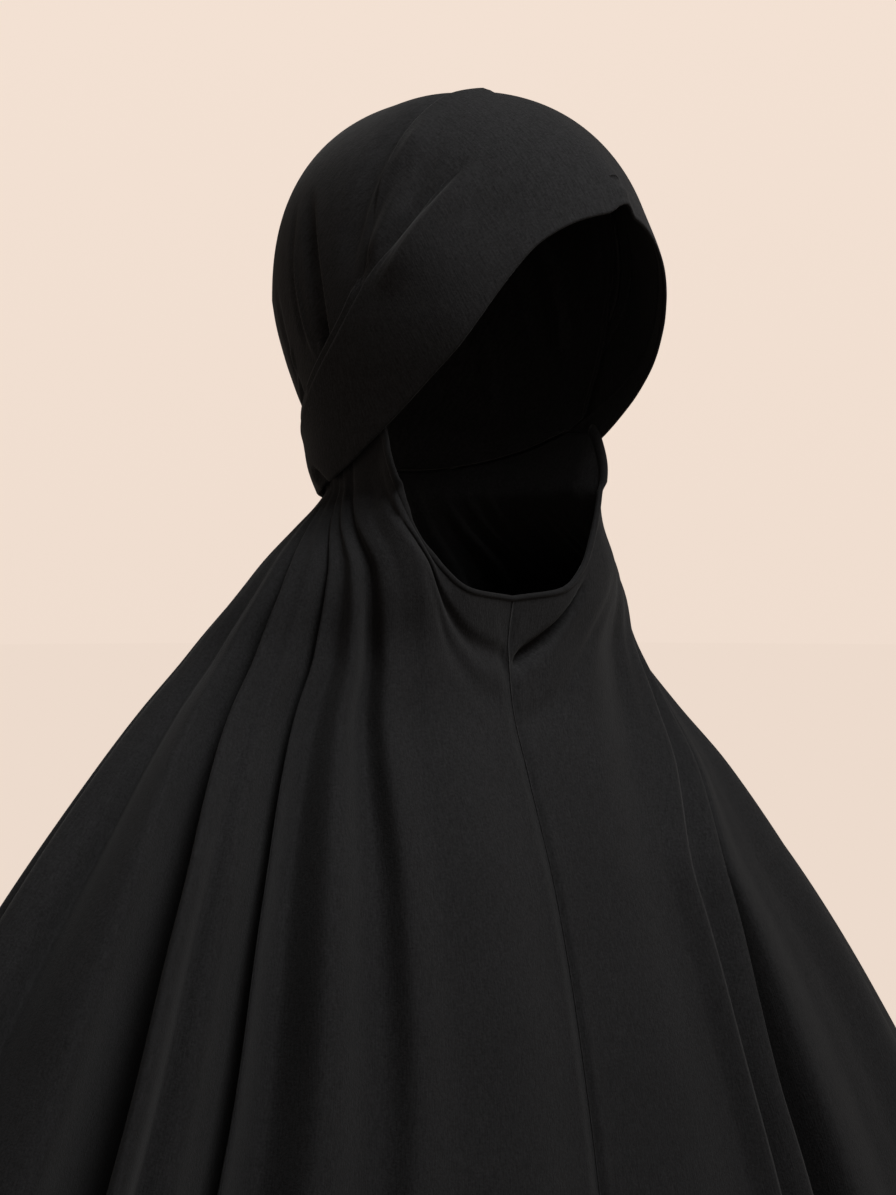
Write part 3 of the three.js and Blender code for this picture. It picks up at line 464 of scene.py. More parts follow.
def fold_hood(points, folds):
    """Draws the cloth in or out along the lines of its folds."""
    mirrored = points * np.where(points[..., :1] > 0, (-1.0, 1.0, 1.0), (1.0, 1.0, 1.0))
    away = unit(points - MIDDLE)
    inward = np.zeros(points.shape[:2])
    t = np.linspace(0, 1, FOLD_STOPS)[:, None]
    size = np.array([HEAD_HALF_WIDTH, HEAD_FRONT, -PINCH_LEVEL])
    for start, middle, end, depth, left, right, fade_in, fade_out, both_sides in folds:
        start, middle, end = (np.array(place) * size for place in (start, middle, end))
        line = (1 - t) * (1 - 2 * t) * start + 4 * t * (1 - t) * middle + t * (2 * t - 1) * end
        line = on_head(unit(line - MIDDLE), FOLD_LINE_LIFT)
        seen = mirrored if both_sides else points
        nearest = np.argmin(((seen[:, :, None] - line) ** 2).sum(-1), axis=-1)
        share = t[nearest, 0]
        ahead = unit(np.gradient(line, axis=0))[nearest]
        apart = seen - line[nearest]
        offset = (np.cross(unit(seen - MIDDLE), ahead) * apart).sum(-1)
        close = np.linalg.norm(apart, axis=-1) < FOLD_REACH[0] * max(left, right) + FOLD_REACH[1]
        shape = bump(offset, 0, left, right) * close
        shape *= smooth_step(0, fade_in, share) * (1 - smooth_step(1 - fade_out, 1, share))
        inward += depth * shape
    return points - away * inward[..., None]


print("folds in the hood:", {name: len(rows) for name, rows in HOOD_FOLDS.items()})

# %% [markdown]
# A cloth wall is a grid of points in the middle of the cloth, pushed out to both sides by half its
# thickness. Its open edges get a row of points of their own a little further out, so that the edge is round
# and not a sharp cut. Each point also gets a UV coordinate in metres along and across the cloth, because
# the yarns of the crepe follow the cloth and not the room.

# %% A function that makes a cloth wall
EDGE_ROUNDING = 0.8  # how far an edge's row stands out, in half thicknesses


def shift_rows(points, axis, step, closed):
    if closed:
        return np.roll(points, -step, axis)
    index = np.clip(np.arange(points.shape[axis]) + step, 0, points.shape[axis] - 1)
    return np.take(points, index, axis)


def cloth_wall(name, points, thickness, material, closed=False, seams=False):
    """A mesh object from a grid of points in millimetres, as columns of rows. Closed joins the last column
    to the first. With seams, the first and last columns stay in the middle plane, where the halves meet."""
    columns, rows = points.shape[:2]
    along = shift_rows(points, 0, 1, closed) - shift_rows(points, 0, -1, closed)
    down = shift_rows(points, 1, 1, False) - shift_rows(points, 1, -1, False)
    normal = np.cross(along, down)
    if seams:
        normal[[0, -1], :, 0] = 0
    normal = unit(normal)
    half = (np.broadcast_to(thickness, (columns, rows)) / 2)[..., None]
    number = np.arange(columns * rows).reshape(columns, rows)
    if closed:
        number = np.concatenate([number, number[:1]])
        borders = [(number[:-1, 0], number[:-1, 1]), (number[:-1, -1][::-1], number[:-1, -2][::-1])]
    else:
        ring = np.concatenate([number[:, 0], number[-1, 1:], number[-2::-1, -1], number[0, -2:0:-1]])
        inner = np.pad(number[1:-1, 1:-1], 1, mode="edge")
        steps = np.concatenate([inner[:, 0], inner[-1, 1:], inner[-2::-1, -1], inner[0, -2:0:-1]])
        borders = [(ring, steps)]
    flat = points.reshape(-1, 3)
    vertices = [(points + normal * half).reshape(-1, 3), (points - normal * half).reshape(-1, 3)]
    size = columns * rows
    a, b, c, d = number[:-1, :-1], number[1:, :-1], number[1:, 1:], number[:-1, 1:]
    outer = np.stack([a, b, c, d], -1).reshape(-1, 4)
    faces = [outer, outer[:, ::-1] + size]
    used = 2 * size
    source = [np.arange(size), np.arange(size)]
    for edge, step in borders:
        out = unit(flat[edge] - flat[step])
        if seams:
            out[np.isin(edge, number[[0, -1]])] *= (0, 1, 1)
        vertices.append(flat[edge] + out * half.reshape(-1, 1)[edge] * EDGE_ROUNDING)
        source.append(edge)
        rim = used + np.arange(len(edge))
        used += len(edge)
        next_edge, next_rim = np.roll(edge, -1), np.roll(rim, -1)
        faces.append(np.stack([edge, rim, next_rim, next_edge], -1)[:, ::-1])
        faces.append(np.stack([edge + size, next_edge + size, next_rim, rim], -1)[:, ::-1])
    vertices, faces = np.concatenate(vertices) * MM, np.concatenate(faces)
    across_length = np.cumsum(np.linalg.norm(np.diff(points, axis=0, prepend=points[:1]), axis=-1), 0)
    down_length = np.cumsum(np.linalg.norm(np.diff(points, axis=1, prepend=points[:, :1]), axis=-1), 1)
    widest = across_length[:, [-1]] * np.ones((1, rows))
    uv = np.stack([widest, down_length], -1).reshape(-1, 2)[np.concatenate(source)] * MM
    return mesh_object(name, vertices, faces, uv, material)


def mesh_object(name, vertices, faces, uv, material):
    mesh = bpy.data.meshes.new(name)
    corners = faces.shape[1]
    mesh.vertices.add(len(vertices))
    mesh.vertices.foreach_set("co", vertices.astype(np.float32).ravel())
    mesh.loops.add(faces.size)
    mesh.loops.foreach_set("vertex_index", faces.astype(np.int32).ravel())
    mesh.polygons.add(len(faces))
    mesh.polygons.foreach_set("loop_start", np.arange(0, faces.size, corners, dtype=np.int32))
    mesh.polygons.foreach_set("use_smooth", np.ones(len(faces), bool))
    mesh.update(calc_edges=True)
    layer = mesh.uv_layers.new(name="cloth")
    layer.data.foreach_set("uv", uv[faces.ravel()].astype(np.float32).ravel())
    mesh.materials.append(material)
    if signed_volume(vertices, faces) < 0:
        mesh.flip_normals()
    mesh.validate()
    print(name, "has", len(faces) * 2, "triangles")
    return add_object(name, mesh)


def signed_volume(vertices, faces):
    a, b, c, d = (vertices[faces[:, k]] for k in range(4))
    return float((a * np.cross(b, c)).sum() + (a * np.cross(c, d)).sum())


# %% [markdown]
# The brow panel is one long strip that closes into a ring. It runs from its face edge up over the brow,
# turns under itself in a pleat, comes out again behind it, and ends in a folded back edge over the crown.
# Three lines fix it. Each table gives a line's places from the brow, at 0, round to the nape, at 1.


# %% The lines of the brow panel
def panel_line(*places):
    ways = np.linspace(0, 1, len(places))
    return table("way side fore down", *np.c_[ways, places])


PANEL_LOWER_EDGE = panel_line(
    (0, -0.961, 0.303),
    (0.239, -0.922, 0.325),
    (0.48, -0.845, 0.382),
    (0.676, -0.76, 0.487),
    (0.813, -0.61, 0.624),
    (0.88, -0.395, 0.74),
    (0.905, -0.138, 0.851),
    (0.868, 0.109, 0.931),
    (0.78, 0.282, 0.962),
    (0.46, 0.57, 0.98),
    (0, 0.72, 0.99),
)
PANEL_PLEAT = panel_line(
    (0, -0.66, 0.08),
    (0.29, -0.64, 0.1),
    (0.55, -0.56, 0.16),
    (0.754, -0.441, 0.237),
    (0.92, -0.353, 0.34),
    (1.03, -0.187, 0.471),
    (1.044, -0.043, 0.579),
    (1.019, 0.083, 0.655),
    (0.947, 0.246, 0.734),
    (0.66, 0.53, 0.842),
    (0, 0.79, 0.877),
)
PANEL_BACK_EDGE = panel_line(
    (0, -0.14, 0),
    (0.28, -0.145, 0),
    (0.54, -0.155, 0.045),
    (0.75, -0.157, 0.117),
    (0.935, -0.152, 0.26),
    (1.034, -0.122, 0.43),
    (1.047, -0.022, 0.545),
    (1.021, 0.105, 0.628),
    (0.95, 0.27, 0.71),
    (0.66, 0.545, 0.815),
    (0, 0.8, 0.848),
)

print("places on each line of the panel:", len(PANEL_PLEAT["way"]))

# %% [markdown]
# Over the ear the pleat becomes the top edge of a band, which wraps round the nape. So the strip's profile
# really does double back: three layers lie on each other at the pleat, as on the sewn veil.

# %% The brow panel
CLOTH = 0.85  # thickness of the crepe with its turned edges
PANEL_LIFT = 2.65  # from the form to the middle of the panel
PANEL_COLUMNS_EACH_SIDE = 150
FRONT_ROWS, BACK_ROWS, FACE_TURN_ROWS, BACK_TURN_ROWS = 46, 22, 5, 4
BAND_SLACK, BAND_FLARE = 1.2, 1.0  # how far the band stands off, and its lower edge more than that
SLACK_SPAN, FLARE_SPAN = (0.6, 0.85), (0.66, 0.84)  # of the way round, over which they grow
FLARE_FADE = 30.0  # over which the cloth turned under the band comes back
BROW_PEAK, BROW_PEAK_WIDTH, BROW_PEAK_END = 4.5, 13.0, 0.2  # the end is a share of the way round
FACE_TURN_UNDER, BACK_TURN_UNDER, TURN_BEGIN = 11.0, 12.0, 1.5
UNDER_LAYER = 1.15 * CLOTH  # from the middle of a layer to that of the one turned under it
PLEAT_STEP = 2.4  # how far the band stands over the cloth behind its pleat
PLEAT_BEGIN = {-1: 0.27, 1: 0.37}  # of the way round, on the right and on the left
PLEAT_GROWTH = 0.15
PLEAT_SPREAD = 4.0  # width of the cloth of its layers where the pleat hasn't begun
# The layers of the pleat from its edge in under the band and out again: offset and share of the step
PLEAT_LAYERS = (
    (0.25, 0.97), (0.42, 0.86), (0.48, 0.75), (0.42, 0.64), (0.25, 0.53), (-2, 0.5), (-5, 0.48), (-8, 0.45),
    (-8.6, 0.36), (-8.8, 0.22), (-8.6, 0.08), (-8, 0), (-5, -0.02), (-2, -0.02), (0.5, 0),
)


def fold_over(centre, radius, turns):
    """Offsets and lifts round a half circle, from the upper layer to the lower one."""
    angle = np.linspace(90, -90, turns + 2)[1:-1] * np.pi / 180
    return [(radius * np.cos(a), centre + radius * np.sin(a)) for a in angle]


def panel_grid():
    step = np.arange(2 * PANEL_COLUMNS_EACH_SIDE) / PANEL_COLUMNS_EACH_SIDE
    side = np.where(step <= 1, 1.0, -1.0)
    way = np.where(step <= 1, step, 2 - step)
    lines = (PANEL_LOWER_EDGE, PANEL_PLEAT, PANEL_BACK_EDGE)
    lower, pleat, back = (aim(line, "way", way, side) for line in lines)
    begin = np.where(side > 0, PLEAT_BEGIN[1], PLEAT_BEGIN[-1])
    deep = smooth_step(begin, begin + PLEAT_GROWTH, way)  # how far the pleat is tucked in
    rise = PLEAT_STEP * deep
    lift = PANEL_LIFT + BAND_SLACK * smooth_step(*SLACK_SPAN, way)
    flare = BAND_FLARE * smooth_step(*FLARE_SPAN, way)
    edge_roll = fold_over(-0.55 * CLOTH, 0.6 * CLOTH, 3)
    rows = []

    def lay(direction, height, share=None):
        point = on_head(unit(direction), height)
        if share is not None:
            peak = bump(point[:, 0], BROW_PEAK_WIDTH / 2, BROW_PEAK_WIDTH, BROW_PEAK_WIDTH / 2)
            point[:, 2] += np.where(way < BROW_PEAK_END, BROW_PEAK * peak * (1 - share) ** 2, 0)
        rows.append(point)

    face_lift = lift + rise + flare
    for length in np.linspace(FACE_TURN_UNDER, TURN_BEGIN, FACE_TURN_ROWS):
        lay(shifted(lower, pleat, length), face_lift - UNDER_LAYER - flare * length / FLARE_FADE, 0)
    for offset, height in edge_roll[::-1]:
        lay(shifted(lower, pleat, -offset), face_lift + height, 0)
    for share in np.linspace(0, 1, FRONT_ROWS)[:-1]:
        lay(between(lower, pleat, share), lift + rise + flare * (1 - share) ** 2, share)
    for number, (offset, height) in enumerate(PLEAT_LAYERS):
        spread = PLEAT_SPREAD * (number + 1) / (len(PLEAT_LAYERS) + 1)
        lay(shifted(pleat, back, spread + (offset - spread) * deep), lift + rise * height)
    for share in np.linspace(0, 1, BACK_ROWS)[1:]:
        lay(between(shifted(pleat, back, PLEAT_SPREAD), back, share), lift)
    for offset, height in edge_roll:
        lay(shifted(back, pleat, -offset), lift + height)
    for length in np.linspace(TURN_BEGIN, BACK_TURN_UNDER, BACK_TURN_ROWS):
        lay(shifted(back, pleat, length), lift - UNDER_LAYER)
    return np.stack(rows, axis=1)


panel_points = fold_hood(panel_grid(), HOOD_FOLDS["panel"])
brow_cloth = cloth_wall("brow_wrap_cloth", panel_points, CLOTH, crepe, closed=True)

# %% [markdown]
# The back of the hood is gathered towards the ears, where the band holds it. Its pleats are the crown's rows
# in HOOD_FOLDS: they run from the back of the hood and meet in a dark pocket at the band's top edge. The
# cloth's front edge lies under the brow panel, and its lower edge follows the cape's top edge. That edge is
# needed here first, so its table stands here.

# %% The crown of the hood
CROWN_COLUMNS, CROWN_ROWS = 301, 130
CLOSE_LIFT = 0.75  # from the form to the middle of a cloth that lies close to it
CROWN_LAP = 15.0  # under the brow panel, and half as much at the ear
CROWN_FRONT_END = 0.52  # how far round along the panel's back edge the crown's front edge runs
CROWN_CORNER, CROWN_CROWDING = 0.8, 1.15
CROWN_EAR = (0.92, -0.06, 0.8)  # where its front edge ends, as shares of the hollow
EAR_TURN = 24.0  # degrees round the cape's top edge
CROWN_CLEARANCE = 0.64  # above the cape's top edge
PRESSED = 1.0  # how far the brow panel and the band press the cloth in
PRESSED_FRONT, PRESSED_BACK = (0.06, 0.2), (0.8, 0.9)  # shares of the way back where that ends and begins
# The cape's top edge: degrees from the front seam, the place as shares of the hollow, how closely it follows
# the form, and how far down the cape keeps the edge's shape
CAPE_TOP = table(
    "turn side fore down hug release",
    (0, 0, -0.273, 1.275, 0, 1),
    (4, 0.373, -0.299, 1.256, 0, 1),
    (8, 0.587, -0.278, 1.198, 0, 1),
    (12, 0.747, -0.235, 1.098, 0, 1),
    (15, 0.84, -0.193, 0.994, 0, 1),
    (17.5, 0.887, -0.16, 0.918, 0.3, 0.96),
    (19.5, 0.89, -0.1, 0.85, 1, 0.88),
    (22, 0.893, 0.03, 0.848, 1, 0.76),
    (28, 0.885, 0.11, 0.862, 1, 0.56),
    (42, 0.845, 0.215, 0.885, 1, 0.35),
    (57, 0.785, 0.32, 0.905, 1, 0.26),
    (80, 0.653, 0.46, 0.925, 1, 0.225),
    (110, 0.453, 0.588, 0.936, 1, 0.225),
    (145, 0.213, 0.684, 0.942, 1, 0.225),
    (180, 0, 0.717, 0.945, 1, 0.225),
)


def crown_grid():
    along = np.linspace(-1, 1, CROWN_COLUMNS)
    side = np.where(along < 0, -1.0, 1.0)
    way = np.abs(along)
    end = CROWN_FRONT_END * np.minimum(way / CROWN_CORNER, 1)
    back_edge, pleat = (aim(line, "way", end, side) for line in (PANEL_BACK_EDGE, PANEL_PLEAT))
    lap = CROWN_LAP * (1 - 0.5 * smooth_step(CROWN_CORNER / 2, CROWN_CORNER, way))
    ear = towards(side * CROWN_EAR[0], *CROWN_EAR[1:])
    front = unit(between(shifted(back_edge, pleat, lap), ear, smooth_step(CROWN_CORNER, 1, way)))
    nape = aim(CAPE_TOP, "turn", 180 + (EAR_TURN - 180) * way**CROWN_CROWDING, side)
    up = np.broadcast_to(np.array([0.0, 0.0, 1.0]), nape.shape)
    nape = unit(shifted(nape, up, CROWN_CLEARANCE))
    rows = []
    for across in np.linspace(0, 1, CROWN_ROWS):
        pressed = 1 - smooth_step(*PRESSED_FRONT, across) + smooth_step(*PRESSED_BACK, across)
        rows.append(on_head(unit(between(front, nape, across)), CLOSE_LIFT - PRESSED * pressed))
    return np.stack(rows, axis=1)


crown_points = fold_hood(crown_grid(), HOOD_FOLDS["crown"])
crown_cloth = cloth_wall("crown_hood_cloth", crown_points, CLOTH, crepe)

# %% [markdown]
# The cape is two halves that meet at a seam in front and one behind. It hangs from its top edge, which the
# band holds at the nape and which swings free in front, and it widens from section to section down to the
# hem. Without its folds a section is an oval, so its width, its depth and its place say all of it.

# %% The plain form of the cape
NECK_HALF_WIDTH, NECK_HALF_DEPTH = 57.0, 44.5
HEM_HALF_WIDTH, HEM_HALF_DEPTH, CAPE_SETBACK = 455.0, 132.0, 37.0
CAPE_LENGTH = 645.0
BACK_DROP, BACK_DROP_START = 35.0, 30.0  # how much lower the hem is behind, and the degrees where that starts
CAPE_SECTIONS = table(
    "below width depth setback",
    (0, 0, 0, 0.38),
    (0.012, 0.018, 0.015, 0.445),
    (0.024, 0.04, 0.034, 0.505),
    (0.048, 0.088, 0.072, 0.56),
    (0.064, 0.112, 0.094, 0.62),
    (0.107, 0.168, 0.161, 0.88),
    (0.147, 0.237, 0.218, 0.945),
    (0.188, 0.312, 0.28, 0.87),
    (0.268, 0.441, 0.425, 0.76),
    (0.349, 0.552, 0.546, 0.71),
    (0.474, 0.7, 0.69, 0.657),
    (0.597, 0.811, 0.805, 0.624),
    (0.814, 0.937, 0.943, 0.584),
    (1, 1, 1, 0.568),
)


def hem_level(turn):
    return PINCH_LEVEL + CAPE_LENGTH + BACK_DROP * smooth_step(BACK_DROP_START, 180, turn)


def cape_section(down, degrees):
    """The place on the cape's plain form at a level, and the way out from it."""
    below = (down - PINCH_LEVEL) / CAPE_LENGTH
    share = {name: through(CAPE_SECTIONS["below"], CAPE_SECTIONS[name], below) for name in CAPE_SECTIONS}
    angle = np.radians(degrees)
    width = NECK_HALF_WIDTH + (HEM_HALF_WIDTH - NECK_HALF_WIDTH) * share["width"]
    depth = NECK_HALF_DEPTH + (HEM_HALF_DEPTH - NECK_HALF_DEPTH) * share["depth"]
    place = np.stack([width * np.sin(angle), CAPE_SETBACK * share["setback"] - depth * np.cos(angle)], -1)
    outward = unit(np.stack([depth * np.sin(angle), -width * np.cos(angle)], -1))
    return place, outward


front_top_level = PINCH_LEVEL * CAPE_TOP["down"][0]
print("the cape falls", round(float(hem_level(0.0) - front_top_level)), "mm in front")

# %% [markdown]
# The folds of heavy crepe run down in courses that drift round the body, so the tables give each course at
# six levels, in degrees from the front seam. A fold may lean over the valley beside it, which is what makes
# the sharp black shadows. Other folds sag across the throat from side to side.

# %% The folds of the cape
LEVELS = {"neck": 0.0, "throat": 0.054, "collar": 0.124, "turn": 0.268, "chest": 0.426, "hem": 1.0}
RIGHT_COURSES = table(
    "neck throat collar turn chest hem",
    (0, 0, 0, 0, 0, 0),
    (88, 47, 32, 22.8, 20, 19),
    (96, 58, 43, 35.5, 32, 30),
    (103, 67, 52, 43.3, 39.9, 38.2),
    (114, 85, 70.5, 58, 54, 51),
    (128, 102, 90, 80, 77, 75),
    (139, 118, 108, 101, 99, 98),
    (150, 134, 127, 122, 121, 120),
    (161, 149, 145, 142, 141.5, 141),
    (171, 165, 163, 161.5, 161, 161),
    (180, 180, 180, 180, 180, 180),
)
LEFT_COURSES = table(
    "neck throat collar turn chest hem",
    (0, 0, 0, 0, 0, 0),
    (84, 66, 46.5, 21.6, 18.9, 18.4),
    (91, 77, 54, 27.8, 22.2, 21.6),
    (94, 80, 56.5, 30.2, 26, 25.2),
    (98, 84, 59, 32.2, 30.4, 29.6),
    (112, 99, 75, 56, 55, 53.5),
    (128, 113, 94, 84, 81, 79),
    (141, 127, 114, 107, 105, 104),
    (155, 146, 137, 131, 130, 130),
    (168, 163, 159, 156, 156, 156),
    (180, 180, 180, 180, 180, 180),
)
# Depths are shares of FOLD_DEPTH at four levels, below 0 for a ridge. Slant is how far a valley moves
# towards the seam as it goes in, as a share of its depth; a ridge moves the other way.
FOLD_DEPTH = 22.0
RIGHT_FOLDS = table(
    "turn seamward backward neck collar shoulder hem slant",
    (10, 9, 9, 0, -0.08, -0.2, -0.4, 0),
    (21, 5, 3, -0.05, -0.12, -0.18, -0.12, 0.4),
    (25.6, 4, 7, 0.08, 0.28, 0.4, 0.1, 0.45),
    (31.5, 5, 4, -0.05, -0.1, -0.12, -0.15, 0),
    (37, 4.6, 7.5, 0.04, 0.3, 0.8, 1.35, 0.3),
    (42.7, 1.6, 6.5, 0.1, 0.5, 0.9, 1.9, 0.75),
    (47.6, 1.6, 1.6, 0, -0.04, -0.04, -0.06, 0),
    (49.6, 2.6, 2.6, 0, 0.04, 0.22, 0.7, 0),
    (52.8, 2.6, 2, -0.05, -0.16, -0.26, -0.4, 0.75),
    (56.2, 2.3, 8.6, 0.1, 0.8, 1.35, 3.5, 0.7),
    (64.5, 3.5, 6, 0, -0.15, -0.3, -0.5, 0),
    (77, 9, 8, 0, 0.25, 0.7, 0.8, 0),
    (90, 6, 7, 0, -0.08, -0.25, -0.4, 0),
    (101, 5, 7, 0.05, 0.4, 0.75, 1.3, 0),
    (122, 6, 8, 0.05, 0.3, 0.6, 1.2, 0),
    (142, 6, 8, 0.05, 0.35, 0.7, 1.3, 0),
    (161.5, 6, 7, 0.05, 0.25, 0.5, 1, 0),
)
LEFT_FOLDS = table(
    "turn seamward backward neck collar shoulder hem slant",
    (10, 9, 8, 0, -0.05, -0.1, -0.2, 0),
    (15, 6, 4, 0.05, 0.22, 0.02, 0, 0),
    (21.1, 2.6, 1.1, 0, -0.14, -0.28, -0.36, 0.5),
    (24.2, 1.8, 3, 0, 0.06, 0.12, 0.2, 0),
    (27.9, 2.4, 1, 0, -0.12, -0.26, -0.32, 0.5),
    (28.9, 1.3, 0.7, 0, -0.04, -0.14, -0.35, 0.6),
    (30.4, 1.3, 1.8, 0, 0.15, 0.75, 2.6, -0.1),
    (32.8, 1.8, 6, 0, -0.06, -0.14, -0.24, 0),
    (52, 10, 9, 0, -0.12, -0.28, -0.4, 0),
    (74, 7, 7, 0.05, 0.3, 0.6, 1.1, 0),
    (92, 7, 7, 0.05, 0.3, 0.55, 1.15, 0),
    (110, 6, 8, 0.05, 0.4, 0.75, 1.35, 0),
    (131, 6, 8, 0.05, 0.3, 0.6, 1.2, 0),
    (156, 7, 7, 0.05, 0.35, 0.65, 1.2, 0),
)
# Folds that sag across the throat: how far below the edge they lie at the seam and at the band, where they
# fade in and out in turn, their depth, and their width above and below the line
RIGHT_COWL = table(
    "at_seam at_band near far depth above below",
    (25, 8, 0.5, 20, 2.4, 6, 12),
    (46, 28, 3, 16, 1, 9, 15),
)
LEFT_COWL = table(
    "at_seam at_band near far depth above below",
    (30, -24, 1.5, 9, 9, 8, 5),
    (54, 22, 1, 15, 1.4, 8, 12),
)
COWL_BAND_TURN = 20.0
COWL_FADE = 0.6  # the share of its run where a throat fold starts to fade out
COWL_CLEAR = (1.0, 8.0)  # below the top edge, over which the throat folds set in


def course_at(courses, turn, down):
    """Where a column of the cape runs at a level, in degrees. Its name is its degrees at the level turn."""
    below = ((down - PINCH_LEVEL) / CAPE_LENGTH).ravel()
    levels = list(LEVELS.values())
    knots = np.array([through(levels, course, below) for course in zip(*courses.values())])
    return through(courses["turn"], knots, np.broadcast_to(turn, down.shape))


def folds_at(folds, turn, down):
    """How far the folds draw the cloth in and along."""
    below = (down - PINCH_LEVEL) / CAPE_LENGTH
    inward, along = np.zeros_like(down), np.zeros_like(down)
    for at, seamward, backward, neck, collar, shoulder, hem, slant in zip(*folds.values()):
        depths = (neck, collar, shoulder, hem)
        depth = FOLD_DEPTH * through((0.0, LEVELS["collar"], LEVELS["turn"], 1.0), depths, below)
        draw = depth * bump(turn, at, seamward, backward)
        inward += draw
        along -= slant * draw
    return inward, along


def cowl_at(cowl, turn, fallen):
    """How far the folds across the throat draw the cloth in."""
    inward = np.zeros_like(fallen)
    for at_seam, at_band, near, far, depth, above, below in zip(*cowl.values()):
        line = at_seam + (at_band - at_seam) * turn / COWL_BAND_TURN
        reach = smooth_step(0, near, turn) * (1 - smooth_step(COWL_FADE * far, far, turn))
        inward += depth * bump(fallen, line, above, below) * reach * smooth_step(*COWL_CLEAR, fallen)
    return inward


print("folds that run down the halves:", len(RIGHT_FOLDS["turn"]), "and", len(LEFT_FOLDS["turn"]))

# %% [markdown]
# A point of the cape starts on the plain form. Close to the top edge it is held where the edge is, and lets
# go of it further down. Then its folds draw it in and along, and the seams pull a narrow valley of their own.

# %% The points of the cape
EDGE_RELEASE, FOLD_RELEASE = 40.0, 20.0  # below the edge, over which the form and the folds are let go
SEAM_DIP = 1.8
SEAM_DIP_TURN = {-1: 1.8, 1: 0.8}  # the right half rolls in more slowly than the left
HALF_SEAM_GAP = 0.2


def cape_top(turn):
    value = {name: through(CAPE_TOP["turn"], CAPE_TOP[name], turn) for name in CAPE_TOP}
    loose = np.stack(
        [value["side"] * HEAD_HALF_WIDTH, value["fore"] * HEAD_FRONT, -value["down"] * PINCH_LEVEL], -1
    )
    hugging = on_head(aim(CAPE_TOP, "turn", turn, 1), CLOSE_LIFT)
    return loose + (hugging - loose) * value["hug"][..., None]


def cape_points(side, courses, folds, cowl, turn, share):
    """Points of a half of the cape. Turn is the column, share the way from its top edge to the hem."""
    turn, share = np.broadcast_arrays(turn, share)
    top = cape_top(turn)
    start_level = -top[..., 2]
    down = start_level + (hem_level(turn) - start_level) * share
    start, _ = cape_section(start_level, course_at(courses, turn, start_level))
    place, outward = cape_section(down, course_at(courses, turn, down))
    release = EDGE_RELEASE * through(CAPE_TOP["turn"], CAPE_TOP["release"], turn)
    held = np.exp((start_level - down) / release)
    place = place + (top[..., :2] - start) * held[..., None]
    inward, along = folds_at(folds, turn, down)
    fallen = down - start_level
    released = 1 - np.exp(-fallen / FOLD_RELEASE)
    seam = bump(np.minimum(turn, 180 - turn), 0, 1, SEAM_DIP_TURN[side])
    seam = SEAM_DIP * seam * (1 + smooth_step(0, CAPE_LENGTH, fallen))
    inward = (inward + seam) * released + cowl_at(cowl, turn, fallen)
    tangent = np.stack([-outward[..., 1], outward[..., 0]], -1)
    place = place - outward * inward[..., None] + tangent * (along * released)[..., None]
    x = np.maximum(place[..., 0], HALF_SEAM_GAP)
    x = np.where((turn == 0) | (turn == 180), HALF_SEAM_GAP, x)
    return np.stack([side * x, place[..., 1], -down], -1)


RIGHT = (-1, RIGHT_COURSES, RIGHT_FOLDS, RIGHT_COWL)
LEFT = (1, LEFT_COURSES, LEFT_FOLDS, LEFT_COWL)
print("front of the cape's top edge:", cape_top(np.zeros(1)).round(1)[0])

# %% [markdown]
# Each half is then a cloth wall. The columns stand closer in front, where the folds are narrow, and the
# rows closer at the top. The hem is turned up and sewn, so the cloth is thicker there.

# %% The two halves of the cape
SEAM_TURN, FINE_TURN, COARSE_TURN = 0.2, 0.4, 0.85  # degrees from column to column
SEAM_END, FINE_END = 2.4, 64.0  # degrees round, where the next spacing begins
CAPE_ROWS = 128
ROW_CROWDING = 1.5
HEM_HEIGHT, HEM_THICKNESS = 15.0, 1.7
HEM_EDGE = 1.5  # above and below the hem's height, over which the cloth thins

cape_turns = np.concatenate(
    [
        np.arange(0, SEAM_END, SEAM_TURN),
        np.arange(SEAM_END, FINE_END, FINE_TURN),
        np.linspace(FINE_END, 180, round((180 - FINE_END) / COARSE_TURN)),
    ]
)
cape_shares = np.linspace(0, 1, CAPE_ROWS) ** ROW_CROWDING


def cape_cloth(name, half):
    points = cape_points(*half, cape_turns[:, None], cape_shares[None, :])
    above_hem = hem_level(cape_turns)[:, None] + points[..., 2]
    turned_up = smooth_step(HEM_HEIGHT + HEM_EDGE, HEM_HEIGHT - HEM_EDGE, above_hem)
    thickness = CLOTH + (HEM_THICKNESS - CLOTH) * turned_up
    return cloth_wall(name, points, thickness, crepe, seams=True)


cape_right_cloth = cape_cloth("cape_right_cloth", RIGHT)
cape_left_cloth = cape_cloth("cape_left_cloth", LEFT)

# %% [markdown]
# The lower half of the face opening ends in a narrow rolled edge. It is swept along the cape's top edge: a
# flattened ring at each stop, finer at the seam and broad where it meets the band.

# %% The rolled edge
BINDING_END = 19.6  # degrees round, where it runs in under the band
BINDING_STOPS, BINDING_SIDES = 60, 14
BINDING_WIDTH = (2.6, 5.0)  # at the seam and at the band
BINDING_THICKNESS = 2.6
BINDING_OVERLAP = 0.5  # how far it takes in the cape's edge
BINDING_SIGHT = 0.006  # share of the fall below the edge, from where the way up to it is taken
BINDING_STRIP = 0.6  # width of the cloth at each of a ring's sides


